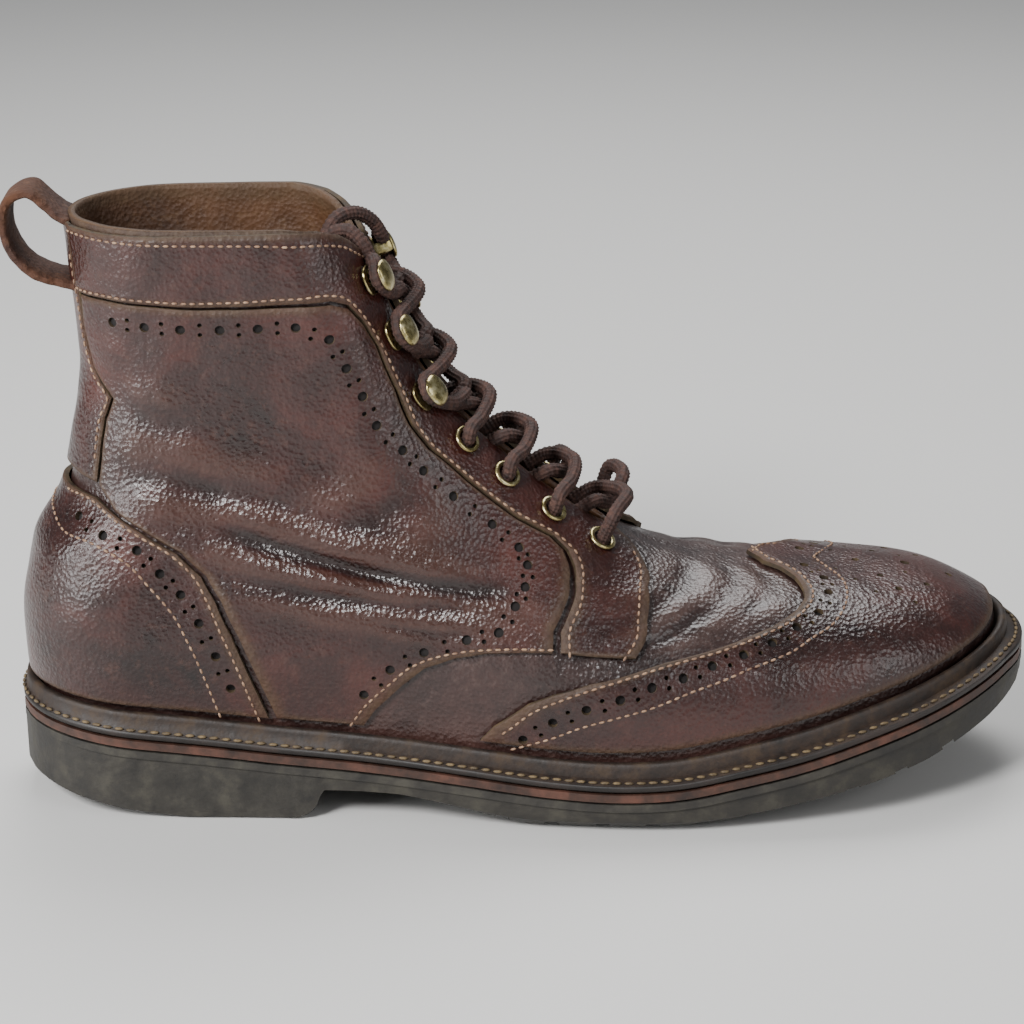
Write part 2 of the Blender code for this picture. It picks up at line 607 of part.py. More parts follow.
def eyelet(name, u, v, mat):
    """A turned ring lying on the facing."""
    inner, outer, height = EYELET_HOLE_R, EYELET_R, EYELET_HEIGHT
    profile = [(inner, height), (outer - height * 0.5, height), (outer, height * 0.4), (outer, 0), (inner, 0)]
    mesh = bpy.data.meshes.new(name)
    count = len(profile)
    mesh.from_pydata([(r, 0, z) for r, z in profile], [(k, (k + 1) % count) for k in range(count)], [])
    obj = bpy.data.objects.new(name, mesh)
    PARTS.objects.link(obj)
    mesh.materials.append(mat)
    mod = obj.modifiers.new("Turn", "SCREW")
    mod.axis = "Z"
    mod.steps = 12
    mod.render_steps = 12
    mod.use_merge_vertices = True
    mod.merge_threshold = 0.00001
    mod.use_smooth_shade = True
    obj.matrix_world = frame_at(u, v, TRIM_TOP + 2 * GAP)
    return obj


def hook(name, u, v, mat):
    """A speed hook: base plate, fold on the inner edge, and a head over the lace."""
    reach, plate, height = HOOK_REACH, HOOK_PLATE, HOOK_HEIGHT
    outline = [(-reach, 0), (reach * 0.75, 0), (reach, plate), (reach, height - plate * 1.6),
               (reach * 0.75, height - plate * 0.4), (-reach * 0.6, height + plate * 0.4),
               (-reach, height + plate * 1.4), (-reach, height + plate * 0.4),
               (-reach * 0.6, height - plate * 0.6), (reach * 0.55, height - plate * 1.5),
               (reach - plate, height - plate * 2.2), (reach - plate, plate * 1.5),
               (reach * 0.6, plate), (-reach, plate)]
    toward = 1 if u >= 0 else -1
    curve = bpy.data.curves.new(name, "CURVE")
    curve.dimensions = "2D"
    curve.fill_mode = "BOTH"
    curve.extrude = HOOK_WIDTH / 2
    line = curve.splines.new("POLY")
    line.points.add(len(outline) - 1)
    for target, (x, y) in zip(line.points, outline):
        target.co = (x * toward, y, 0, 1)
    line.use_cyclic_u = True
    obj = bpy.data.objects.new(name, curve)
    PARTS.objects.link(obj)
    curve.materials.append(mat)
    obj.matrix_world = frame_at(u, v, TRIM_TOP + GAP) @ Matrix.Rotation(math.pi / 2, 4, "X")
    return obj


def pull_loop(mat):
    """The strap loop behind the collar, a bent strip."""
    top = HEEL_SEAT + SHAFT
    path = [(-(TRIM_TOP + GAP + LOOP_THICK / 2) - out * SHAFT, top - down * SHAFT) for out, down in LOOP]
    line = smooth_path([(back_x(min(z, top)) - HEEL_TREAD_X + x, 0.0, z) for x, z in path], 26)
    tangent = unit(np.gradient(line, axis=0))
    side = np.array([0.0, 1.0, 0.0])
    across = np.cross(tangent, side)
    sections = []
    for point, out in zip(line, across):
        ring = []
        for y, z in ((-1, -1), (1, -1), (1, 1), (-1, 1)):
            ring.append(tuple(point + side * y * LOOP_WIDTH / 2 + out * z * LOOP_THICK / 2))
        sections.append(ring)
    return loft("pull_loop", sections, mat)


def tongue(mat):
    low, high = TONGUE_SPAN
    rows = np.linspace(low, high, 14)
    shares = np.linspace(1 - TONGUE_HALF, 1 + TONGUE_HALF, 9)
    verts = []
    for v in rows:
        verts += [tuple(p) for p in place(shares, v, -(BASE_DEPTH + WALL + TONGUE_PLAY))]
    width = len(shares)
    faces = [(r * width + k, r * width + k + 1, (r + 1) * width + k + 1, (r + 1) * width + k)
             for r in range(len(rows) - 1) for k in range(width - 1)]
    return solidify(new_object("tongue", verts, faces, mat), TONGUE_THICK, -1.0)


def laces(mat):
    """Each visible strand leaves an eyelet or hook, rides over the facing's edge and crosses the tongue."""
    over = TRIM_TOP + GAP + LACE_D / 2
    ride = over + GAP
    for k, (u, v) in enumerate([*HOOKS, *EYELETS]):
        rise = LACE_RISE if k else LACE_RISE_TOP
        slit = float(np.interp(v + rise, SLIT[:, 0], SLIT[:, 1]))
        if k < len(HOOKS):
            start = u + (HOOK_REACH + LACE_D / 2 + 3 * GAP) / ROUND_LENGTH
            lift = over + GAP
        else:
            start = u + LACE_START
            lift = over + EYELET_HEIGHT + 6 * GAP
        for sign, name in ((1, "lateral"), (-1, "medial")):
            layer = ride + (LACE_D + 4 * GAP if sign > 0 else 0.0)
            turns = [(start, v, lift), ((start + slit) / 2, v + rise / 4, ride + LACE_BULGE),
                     (slit, v + rise / 2, ride), (1.0, v + rise, layer)]
            if k == 0:
                middle = over + (LACE_D / 2 if sign > 0 else 0.0)
                turns = [(start, v, over), ((start + 1) / 2, v + rise / 2, middle), (1.0, v + rise, layer)]
            elif sign < 0 and k < len(HOOKS):
                turns = [turns[0], ((start + 1) / 2, v + rise / 2, ride), turns[-1]]
            if sign > 0 and k:
                turns.append((2 - slit - LACE_START, v + rise * 3 / 2, ride + LACE_D * 0.4))
            points = [place(sign * a, b, c) for a, b, c in turns]
            tube(f"lace_{name}_{k + 1}", smooth_path(points, 9), LACE_D / 2, mat)


for old in list(bpy.data.objects):
    bpy.data.objects.remove(old)
PARTS = bpy.data.collections.new("brogue_boot")
CUTTERS = bpy.data.collections.new("cutters")
bpy.context.scene.collection.children.link(PARTS)
bpy.context.scene.collection.children.link(CUTTERS)

LEATHER = material("oxblood leather", (0.105, 0.032, 0.030), 0.38)
VAMP = material("vamp leather", (0.120, 0.050, 0.045), 0.36)
SUEDE = material("strap leather", (0.150, 0.056, 0.024), 0.85)
LINING = material("tan insole leather", (0.195, 0.070, 0.024), 0.6)
WELT = material("welt leather", (0.105, 0.068, 0.034), 0.6)
MIDSOLE = material("midsole leather", (0.255, 0.102, 0.044), 0.55)
RUBBER = material("sole rubber", (0.070, 0.063, 0.052), 0.7)
BRASS = material("aged brass", (0.270, 0.235, 0.115), 0.35, 1.0)
LACE = material("lace cord", (0.070, 0.024, 0.016), 0.8)

TRIM_TOP = LIFT - BASE_DEPTH + RAISED
UNDER_UPPER = WELT_DROP + WELT_THICK

solidify(new_object("upper", *upper_grid(), VAMP), WALL, -1.0)
overlay("counter", COUNTER + tuple(mirrored(COUNTER))[1:], RAISED, LEATHER)
overlay("backstay", tuple(mirrored(BACKSTAY)) + BACKSTAY, OVERLAY, LEATHER)
overlay("toe_cap", tuple((2 - u, v) for u, v in WING) + tuple(reversed(WING))[1:], RAISED, LEATHER)
for side_name, turn_side in (("lateral", tuple), ("medial", mirrored)):
    overlay(f"quarter_{side_name}", turn_side(quarter_outline()), OVERLAY, LEATHER)
    overlay(f"collar_{side_name}", turn_side(collar_outline()), RAISED, LEATHER)
cut_tread(outsole(RUBBER))
slab("midsole", ledge, UNDER_UPPER + LAYER_GAP, UNDER_UPPER + LAYER_GAP + MIDSOLE_THICK, MIDSOLE)
slab("insole", lambda x: np.full(len(x), -(BASE_DEPTH + WALL + INSOLE_PLAY)), INSOLE_TOP, UNDER_UPPER, LINING)
welt(WELT)
tongue(LEATHER)
pull_loop(SUEDE)
for number, (round_share, up_share) in enumerate(EYELETS, 1):
    eyelet(f"eyelet_lateral_{number}", round_share, up_share, BRASS)
    eyelet(f"eyelet_medial_{number}", -round_share, up_share, BRASS)
for number, (round_share, up_share) in enumerate(HOOKS, 1):
    hook(f"hook_lateral_{number}", round_share, up_share, BRASS)
    hook(f"hook_medial_{number}", -round_share, up_share, BRASS)
laces(LACE)
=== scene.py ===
# %% [markdown]
# # A laced wing-tip ankle boot
# The real boot is cut from waxed oxblood leather, pulled over a last and sewn to a welt. Each cell
# makes one kind of piece, in the order in which a maker would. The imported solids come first, because
# every piece has to lie where its solid lies.

# %% The frame
import json
import math

import bpy
import numpy as np
from mathutils import Matrix, Vector
from mathutils.geometry import delaunay_2d_cdt

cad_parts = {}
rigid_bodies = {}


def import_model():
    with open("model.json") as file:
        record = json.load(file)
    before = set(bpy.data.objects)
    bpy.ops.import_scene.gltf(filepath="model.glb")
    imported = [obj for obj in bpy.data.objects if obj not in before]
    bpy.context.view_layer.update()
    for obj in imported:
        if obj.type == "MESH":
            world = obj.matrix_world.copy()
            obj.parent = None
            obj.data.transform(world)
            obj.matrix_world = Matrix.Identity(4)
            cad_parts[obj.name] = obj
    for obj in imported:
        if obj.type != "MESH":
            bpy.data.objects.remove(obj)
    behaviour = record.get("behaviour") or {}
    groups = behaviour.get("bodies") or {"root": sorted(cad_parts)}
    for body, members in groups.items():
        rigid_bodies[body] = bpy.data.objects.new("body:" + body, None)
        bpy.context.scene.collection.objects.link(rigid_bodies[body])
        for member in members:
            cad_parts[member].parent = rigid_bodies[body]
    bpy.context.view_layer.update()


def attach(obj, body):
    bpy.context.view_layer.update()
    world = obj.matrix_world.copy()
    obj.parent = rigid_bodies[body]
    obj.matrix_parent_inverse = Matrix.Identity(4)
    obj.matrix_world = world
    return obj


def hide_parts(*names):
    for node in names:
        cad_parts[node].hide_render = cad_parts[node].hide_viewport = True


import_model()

# %% [markdown]
# The camera stands about 0.9 m away, a little above the boot, as an observer's would. A long lens
# keeps the perspective gentle. Its columns are built from three turns: yaw, pitch and roll.

# %% The camera
CAMERA_AT = (0.07426, -0.92858, 0.40658)
CAMERA_YAW, CAMERA_PITCH, CAMERA_ROLL = 0.00767, 0.33406, -0.01328
CAMERA_LENS = 112.5

ahead = Vector((math.sin(CAMERA_YAW) * math.cos(CAMERA_PITCH),
                math.cos(CAMERA_YAW) * math.cos(CAMERA_PITCH), -math.sin(CAMERA_PITCH)))
level = Vector((math.cos(CAMERA_YAW), -math.sin(CAMERA_YAW), 0))
above = level.cross(ahead)
right = level * math.cos(CAMERA_ROLL) + above * math.sin(CAMERA_ROLL)
up = above * math.cos(CAMERA_ROLL) - level * math.sin(CAMERA_ROLL)
camera = bpy.data.objects.new("camera", bpy.data.cameras.new("camera"))
camera.data.sensor_width = 36
camera.data.lens = CAMERA_LENS
bpy.context.scene.collection.objects.link(camera)
turn = Matrix((right, up, -ahead)).transposed().to_4x4()
camera.matrix_world = Matrix.Translation(CAMERA_AT) @ turn
bpy.context.scene.camera = camera
print("camera lens", CAMERA_LENS)

# %% [markdown]
# Materials are node trees. One function turns an sRGB hex value into the linear colour that the
# shader expects, and one adds a node with its settings and its links.

# %% Helpers for materials
def colour(code):
    """An sRGB hex value as a linear colour."""
    parts = [int(code[k:k + 2], 16) / 255 for k in (1, 3, 5)]
    return (*[c / 12.92 if c <= 0.04045 else ((c + 0.055) / 1.055) ** 2.4 for c in parts], 1)


def add(tree, kind, links=None, **settings):
    """One node with its settings. links gives each input a value or the socket that feeds it."""
    made = tree.nodes.new(kind)
    for key, value in settings.items():
        setattr(made, key, value)
    for key, value in (links or {}).items():
        if isinstance(value, bpy.types.NodeSocket):
            tree.links.new(value, made.inputs[key])
        else:
            made.inputs[key].default_value = value
    return made


def ramp(tree, factor, stops):
    made = add(tree, "ShaderNodeValToRGB", {"Fac": factor})
    points = made.color_ramp.elements
    while len(points) < len(stops):
        points.new(0.5)
    for point, (at, code) in zip(points, stops):
        point.position = at
        point.color = colour(code)
    return made.outputs["Color"]


def finish_material(name, **sockets):
    mat = bpy.data.materials.new(name)
    mat.use_nodes = True
    shader = mat.node_tree.nodes["Principled BSDF"]
    for key, value in sockets.items():
        shader.inputs[key.replace("_", " ")].default_value = value
    return mat, mat.node_tree, shader

# %% [markdown]
# Waxed leather has three scales of detail: patches of dye and wear some centimetres wide, a pore
# grain of about a millimetre, and creases. The pieces carry a crease and an edge attribute: the crease
# value paints shade into the sunk middle of each fold and a highlight on its lips, and the edge value
# gives the cut edges their raw colour, which a texture alone couldn't do.

# %% Leather
def leather(name, dark, middle, light, worn, rough=(0.34, 0.58), grain=0.0013, depth=0.00030, coat=0.28):
    mat, tree, shader = finish_material(name, IOR=1.5)
    shader.inputs["Coat Roughness"].default_value = 0.20
    where = add(tree, "ShaderNodeTexCoord").outputs["Object"]
    patches = add(tree, "ShaderNodeTexNoise", {"Vector": where, "Scale": 22.0, "Detail": 8.0,
                                               "Roughness": 0.68, "Distortion": 0.4}).outputs["Fac"]
    base = ramp(tree, patches, ((0.32, dark), (0.50, middle), (0.68, light)))
    specks = add(tree, "ShaderNodeTexNoise", {"Vector": where, "Scale": 260.0, "Detail": 4.0,
                                              "Roughness": 0.7}).outputs["Fac"]
    speck = add(tree, "ShaderNodeMapRange", {"Value": specks, "From Min": 0.54, "From Max": 0.72,
                                             "To Max": 0.55}).outputs["Result"]
    base = add(tree, "ShaderNodeMix", {0: speck, 6: base, 7: colour(worn)}, data_type="RGBA").outputs[2]
    # Painted shade and highlight: where the crease value is negative, in a fold's sunk middle, the colour is darkened
    # toward the dark tone as shade; where it is positive, on the fold's lips, it is lightened toward the worn tone as
    # a highlight.
    crease = add(tree, "ShaderNodeAttribute", attribute_name="crease").outputs["Fac"]
    high = add(tree, "ShaderNodeMapRange", {"Value": crease, "From Min": 0.05, "From Max": 0.6,
                                            "To Max": 0.5}).outputs["Result"]
    low = add(tree, "ShaderNodeMapRange", {"Value": crease, "From Min": -0.1, "From Max": -0.9,
                                           "To Max": 0.75}).outputs["Result"]
    base = add(tree, "ShaderNodeMix", {0: high, 6: base, 7: colour(worn)}, data_type="RGBA").outputs[2]
    base = add(tree, "ShaderNodeMix", {0: low, 6: base, 7: colour(dark)}, data_type="RGBA").outputs[2]
    edge = add(tree, "ShaderNodeAttribute", attribute_name="edge").outputs["Fac"]
    rub = add(tree, "ShaderNodeMath", {0: edge, 1: specks}, operation="MULTIPLY").outputs[0]
    base = add(tree, "ShaderNodeMix", {0: rub, 6: base, 7: colour("#4a3824")}, data_type="RGBA").outputs[2]
    tree.links.new(base, shader.inputs["Base Color"])
    shine = add(tree, "ShaderNodeMapRange", {"Value": patches, "From Min": 0.35, "From Max": 0.65,
                                             "To Min": rough[0], "To Max": rough[1]}).outputs["Result"]
    dull = add(tree, "ShaderNodeMath", {0: edge, 1: 0.7}, operation="MULTIPLY").outputs[0]
    shine = add(tree, "ShaderNodeMath", {0: shine, 1: dull}, operation="MAXIMUM").outputs[0]
    tree.links.new(shine, shader.inputs["Roughness"])
    wax = add(tree, "ShaderNodeMapRange", {"Value": edge, "To Min": coat, "To Max": 0.0}).outputs["Result"]
    tree.links.new(wax, shader.inputs["Coat Weight"])
    pores = add(tree, "ShaderNodeTexVoronoi", {"Vector": where, "Scale": 1 / grain}).outputs["Distance"]
    wrinkles = add(tree, "ShaderNodeTexNoise", {"Vector": where, "Scale": 420.0, "Detail": 6.0,
                                                "Roughness": 0.65}).outputs["Fac"]
    relief = add(tree, "ShaderNodeMath", {0: pores, 1: wrinkles}, operation="ADD").outputs[0]
    bends = add(tree, "ShaderNodeTexNoise", {"Vector": where, "Scale": 95.0, "Detail": 3.0,
                                             "Distortion": 1.2}).outputs["Fac"]
    relief = add(tree, "ShaderNodeMath", {0: bends, 1: 1.3, 2: relief}, operation="MULTIPLY_ADD").outputs[0]
    bump = add(tree, "ShaderNodeBump", {"Height": relief, "Distance": depth, "Strength": 0.75})
    tree.links.new(bump.outputs["Normal"], shader.inputs["Normal"])
    tree.links.new(bump.outputs["Normal"], shader.inputs["Coat Normal"])
    return mat


OXBLOOD = leather("waxed oxblood leather", "#100706", "#2a110d", "#421b13", "#42281f", (0.24, 0.40))
VAMP_LEATHER = leather("worn oxblood vamp leather", "#150c0b", "#2b1a17", "#3f2823", "#4d3b36", (0.28, 0.44))
TONGUE_LEATHER = leather("tongue leather", "#170c0b", "#271512", "#361f1b", "#3e2c27")
INSOLE = leather("tan lining leather", "#2c190c", "#452a14", "#58381d", "#5c4228", (0.5, 0.7), coat=0.0)
SUEDE = leather("rough strap leather", "#1e0f09", "#371d11", "#4d2d18", "#5f402b", (0.75, 0.92), 0.0016,
                0.0005, 0.0)
print("leathers", 5)

# %% [markdown]
# The sole's layers show as thin bands. The welt is raw vegetable-tanned leather, sewn in a thick
# waxed thread, its edge is dyed and burnished, the midsole's edge is left rusty, and the rubber is
# dull, greenish grey and dusty.

# %% Sole, thread, brass and cord
def plain(name, codes, rough, metal=0.0, scale=60.0, bump_scale=500.0, depth=0.0001, coat=0.0):
    mat, tree, shader = finish_material(name, Metallic=metal)
    shader.inputs["Coat Weight"].default_value = coat
    where = add(tree, "ShaderNodeTexCoord").outputs["Object"]
    noise = add(tree, "ShaderNodeTexNoise", {"Vector": where, "Scale": scale, "Detail": 8.0,
                                             "Roughness": 0.7}).outputs["Fac"]
    stops = [(0.34 + 0.32 * k / (len(codes) - 1), code) for k, code in enumerate(codes)]
    tree.links.new(ramp(tree, noise, stops), shader.inputs["Base Color"])
    shine = add(tree, "ShaderNodeMapRange", {"Value": noise, "From Min": 0.3, "From Max": 0.7,
                                             "To Min": rough[0], "To Max": rough[1]}).outputs["Result"]
    tree.links.new(shine, shader.inputs["Roughness"])
    fine = add(tree, "ShaderNodeTexNoise", {"Vector": where, "Scale": bump_scale, "Detail": 5.0}).outputs["Fac"]
    bump = add(tree, "ShaderNodeBump", {"Height": fine, "Distance": depth, "Strength": 0.7})
    tree.links.new(bump.outputs["Normal"], shader.inputs["Normal"])
    return mat


WELT_TOP = plain("raw welt leather", ("#140d09", "#241810", "#372818"), (0.5, 0.75), scale=140.0, depth=0.0003)
WELT_EDGE = plain("burnished welt edge", ("#0d0907", "#17100c", "#251913"), (0.42, 0.6))
MIDSOLE_EDGE = plain("raw midsole edge", ("#23150f", "#3b241a", "#533226"), (0.5, 0.7), scale=120.0, bump_scale=900.0)
SOLE_RUBBER = plain("dusty sole rubber", ("#191714", "#282520", "#3a372f"), (0.55, 0.8), scale=110.0, depth=0.0003)
RAW_EDGE = plain("raw cut leather edge", ("#251c12", "#3b2e1c", "#54432b"), (0.65, 0.85), scale=160.0, bump_scale=1200.0)
THREAD = plain("waxed linen thread", ("#5a4133", "#856852", "#a0846c"), (0.6, 0.8), scale=300.0)
WELT_THREAD = plain("waxed welt thread", ("#3b2f20", "#594a32", "#746245"), (0.6, 0.8), scale=300.0)
AGED_BRASS = plain("aged brass", ("#7c7048", "#a89b6b", "#d6cda6"), (0.22, 0.38), metal=1.0, scale=350.0)
CORD = plain("braided brown cord", ("#1f120f", "#36211b", "#4f352c"), (0.7, 0.9), scale=400.0, bump_scale=1500.0)
# Painted shadow: a dark material for the discs that stand for the shade inside the punched holes.
HOLE_SHADOW = plain("painted shadow in the holes", ("#0d0908", "#171110"), (0.8, 0.9))
print("materials", len(bpy.data.materials))

# %% [markdown]
# The studio is a pale floor, a pale world and large soft lamps. The biggest hangs over and behind the
# boot, so the waxed vamp gets its long grey sheen.

# %% The studio
FLOOR_HALF = 2.5
floor_mesh = bpy.data.meshes.new("floor")
floor_mesh.from_pydata([(-FLOOR_HALF, -FLOOR_HALF, 0), (FLOOR_HALF, -FLOOR_HALF, 0),
                        (FLOOR_HALF, FLOOR_HALF, 0), (-FLOOR_HALF, FLOOR_HALF, 0)], [], [(0, 1, 2, 3)])
floor = bpy.data.objects.new("floor", floor_mesh)
bpy.context.scene.collection.objects.link(floor)
floor_mat, _, floor_shader = finish_material("pale floor", Roughness=0.9)
floor_shader.inputs["Base Color"].default_value = colour("#c9c8c6")
floor_mesh.materials.append(floor_mat)
world = bpy.data.worlds.new("studio")
world.use_nodes = True
world.node_tree.nodes["Background"].inputs["Color"].default_value = colour("#dfe3e8")
world.node_tree.nodes["Background"].inputs["Strength"].default_value = 0.26
bpy.context.scene.world = world


def lamp(name, at, toward, size, watts):
    data = bpy.data.lights.new(name, "AREA")
    data.size = size
    data.energy = watts
    obj = bpy.data.objects.new(name, data)
    bpy.context.scene.collection.objects.link(obj)
    obj.location = at
    obj.rotation_euler = (Vector(toward) - Vector(at)).to_track_quat("-Z", "Y").to_euler()


lamp("over and behind", (0.15, 0.60, 1.15), (0.05, 0, 0.08), 0.8, 15)
lamp("key", (-0.60, -0.95, 0.95), (0.05, 0, 0.08), 0.40, 30)
lamp("window", (-1.15, -0.60, 0.35), (-0.03, 0, 0.07), 0.5, 11)
lamp("fill", (0.95, -0.8, 0.55), (0.05, 0, 0.08), 0.7, 5)
print("lamps", 4)

# %% [markdown]
# ## The last
# The boot's form is a grid of two shares. One goes round the boot from the heel seam, and one goes up
# from the feather line to the collar. Every leather piece is drawn as a flat pattern in those two
# shares and then laid on the form, much as a clicker cuts flat leather that is lasted later.

# %% Named sizes
LAST_LENGTH = 0.301        # heel to toe of the upper at the feather line
HALF_BALL = 0.050          # half width of the upper at the ball of the foot
HEEL_SEAT = 0.033          # height of the feather line beside the heel
SHAFT = 0.149              # from the heel seat up to the collar
HEEL_TREAD_X = 0.068       # middle of the heel's flat tread, ahead of the last's heel

WALL = 0.0020              # upper leather with its lining
BASE_DEPTH = 0.0009        # the upper's outer face lies this far under the form's surface
LIFT = 0.0008              # under face of an overlay, over the upper's outer face
OVERLAY = 0.0012           # quarters, backstay
RAISED = 0.0018            # toe cap, counter, collar and facings
GAP = 0.0003               # between solids that touch
LAYER_GAP = 0.0007         # between the long layers of the sole

BEAD_HEIGHT = 0.0008       # top of the storm welt's bead over the feather line
BEAD_WIDTH = 0.0029
WELT_DROP = 0.0048         # welt's outer top edge under the feather line
WELT_THICK = 0.0020
MIDSOLE_THICK = 0.0025
INSOLE_TOP = 0.0015        # insole's top under the feather line
INSOLE_PLAY = 0.0012       # between the insole's edge and the upper's wall
SHOULDER = 0.0024          # height of the rubber sole's upper strip
SHOULDER_STEP = 0.0008     # how far the rubber's wall steps in below it
WALL_TAPER = 0.0006

LUG_DEPTH = 0.0026
LUG_GROOVE = 0.0040
LUG_PITCH = 0.0152
LUG_REACH = 0.016          # how far a side groove runs in from the sole's edge
CENTRE_GROOVE = 0.030      # length of a groove in the tread's middle
FIRST_GROOVE_X = 0.1445
GROOVE_COUNT = 10
HEEL_GROOVES_X = (0.047, 0.073)

TONGUE_THICK = 0.0022
TONGUE_PLAY = 0.0009       # between the tongue and the upper's lining
LOOP_WIDTH = 0.019
LOOP_THICK = 0.0030
LACE_D = 0.0046
LACE_START = 0.004         # round, from an eyelet's middle to its strand's end
LACE_RISE = 0.030          # up, how far a strand climbs to the centre line
LACE_RISE_TOP = 0.020
LACE_BULGE = 0.0016
ROUND_LENGTH = 0.135       # leather beside the slit from the heel seam to the centre line
EYELET_R = 0.0044
EYELET_HOLE_R = 0.0028
EYELET_HEIGHT = 0.0011
HOOK_WIDTH = 0.0078
HOOK_REACH = 0.0044        # half length of a hook's base and head
HOOK_HEIGHT = 0.0062
HOOK_PLATE = 0.0010

TRIM_TOP = LIFT - BASE_DEPTH + RAISED
UNDER_UPPER = WELT_DROP + WELT_THICK
print("last length", LAST_LENGTH)

# %% The last's tables, as shares
FEATHER = np.array([       # along, height / HEEL_SEAT
    (0.00, 1.12), (0.05, 1.08), (0.10, 1.03), (0.18, 0.955), (0.25, 0.885), (0.35, 0.815), (0.45, 0.73),
    (0.53, 0.655), (0.60, 0.63), (0.66, 0.66), (0.72, 0.76), (0.78, 0.87), (0.85, 1.04), (0.92, 1.20),
    (1.00, 1.40)])
CENTRE = np.array([        # along, centre line's offset / HALF_BALL
    (0.00, 0.0), (0.20, 0.0), (0.45, -0.02), (0.62, 0.03), (0.75, 0.11), (0.88, 0.17), (1.00, 0.21)])
RIDGE = np.array([         # along, height of the front and top line / SHAFT
    (0.280, 1.520), (0.337, 1.2215), (0.362, 1.090), (0.384, 0.990), (0.409, 0.890), (0.4275, 0.835),
    (0.4475, 0.789), (0.495, 0.705), (0.530, 0.643), (0.585, 0.558), (0.627, 0.511), (0.661, 0.486),
    (0.700, 0.468), (0.762, 0.446), (0.800, 0.433), (0.853, 0.420), (0.900, 0.409), (0.930, 0.402),
    (1.000, 0.372)])
BACK = np.array([          # height over the seat / SHAFT, along
    (0.00, 0.004), (0.08, 0.001), (0.167, 0.001), (0.223, 0.003), (0.289, 0.010), (0.339, 0.018),
    (0.369, 0.027), (0.403, 0.039), (0.43, 0.046), (0.50, 0.053), (0.56, 0.058), (0.63, 0.066),
    (0.69, 0.070), (0.75, 0.068), (0.83, 0.067), (0.92, 0.064), (1.00, 0.060)])
OUTER_SIDE = np.array([    # along, half width / HALF_BALL at the feather, joint, ankle and collar
    (0.00, 0.64, 0.68, 0.50, 0.60), (0.12, 0.66, 0.70, 0.54, 0.63), (0.25, 0.69, 0.74, 0.58, 0.65),
    (0.38, 0.76, 0.80, 0.60, 0.62), (0.50, 0.88, 0.92, 0.60, 0.60), (0.62, 1.00, 1.04, 0.60, 0.60),
    (0.74, 1.04, 1.06, 0.60, 0.60), (0.86, 0.98, 1.00, 0.60, 0.60), (1.00, 0.88, 0.90, 0.60, 0.60)])
INNER_SIDE = np.array([
    (0.00, 0.60, 0.64, 0.50, 0.60), (0.12, 0.60, 0.66, 0.54, 0.63), (0.25, 0.58, 0.68, 0.58, 0.65),
    (0.38, 0.58, 0.70, 0.60, 0.62), (0.50, 0.66, 0.76, 0.60, 0.60), (0.62, 0.82, 0.86, 0.60, 0.60),
    (0.74, 0.86, 0.89, 0.60, 0.60), (0.86, 0.80, 0.83, 0.60, 0.60), (1.00, 0.70, 0.73, 0.60, 0.60)])
LEVELS = (0.0, 0.14, 0.55, 1.0)   # heights of those four columns over the feather / SHAFT
TOE_ROUND = 0.20           # length of the toe's rounding seen from above / LAST_LENGTH
TOE_TOP_ROUND = 0.12       # and seen from the side
HEEL_ROUND = 0.115
TOP_DEPTH = 0.40           # depth over which a section rounds to the top line / SHAFT
COLLAR_AT = 0.337          # where the top line meets the collar's height, along
LEDGE = np.array([         # along, how far the sole stands out from the upper / HALF_BALL
    (0.00, 0.084), (0.12, 0.10), (0.38, 0.11), (0.50, 0.13), (0.62, 0.14), (0.74, 0.15), (0.86, 0.16),
    (1.00, 0.16)])

# %% The form
def spline(rows, columns, at):
    """Smooth curve through the rows of a table (cubic, slopes from the neighbours)."""
    at = np.asarray(at, float)
    slope = np.gradient(columns, rows)
    i = np.clip(np.searchsorted(rows, at) - 1, 0, len(rows) - 2)
    step = rows[i + 1] - rows[i]
    t = np.clip((at - rows[i]) / step, 0, 1)
    return ((1 + 2 * t) * (1 - t) ** 2 * columns[i] + t * (1 - t) ** 2 * step * slope[i]
            + t * t * (3 - 2 * t) * columns[i + 1] + t * t * (t - 1) * step * slope[i + 1])


def feather_z(x):
    return spline(FEATHER[:, 0], FEATHER[:, 1], x / LAST_LENGTH) * HEEL_SEAT


def centre_y(x):
    return spline(CENTRE[:, 0], CENTRE[:, 1], np.clip(x / LAST_LENGTH, 0, 1)) * HALF_BALL


def back_x(z):
    return spline(BACK[:, 0], BACK[:, 1], (z - HEEL_SEAT) / SHAFT) * LAST_LENGTH


def rounding(p, power):
    return (1 - (1 - np.clip(p, 0, 1)) ** power) ** (1 / power)


def ridge_z(x):
    """Height of the line over the toe, the instep and up the front."""
    share = x / LAST_LENGTH
    top = spline(RIDGE[:, 0], RIDGE[:, 1], share) * SHAFT
    foot = feather_z(x)
    return foot + (top - foot) * rounding((1 - share) / TOE_TOP_ROUND, 2.1)


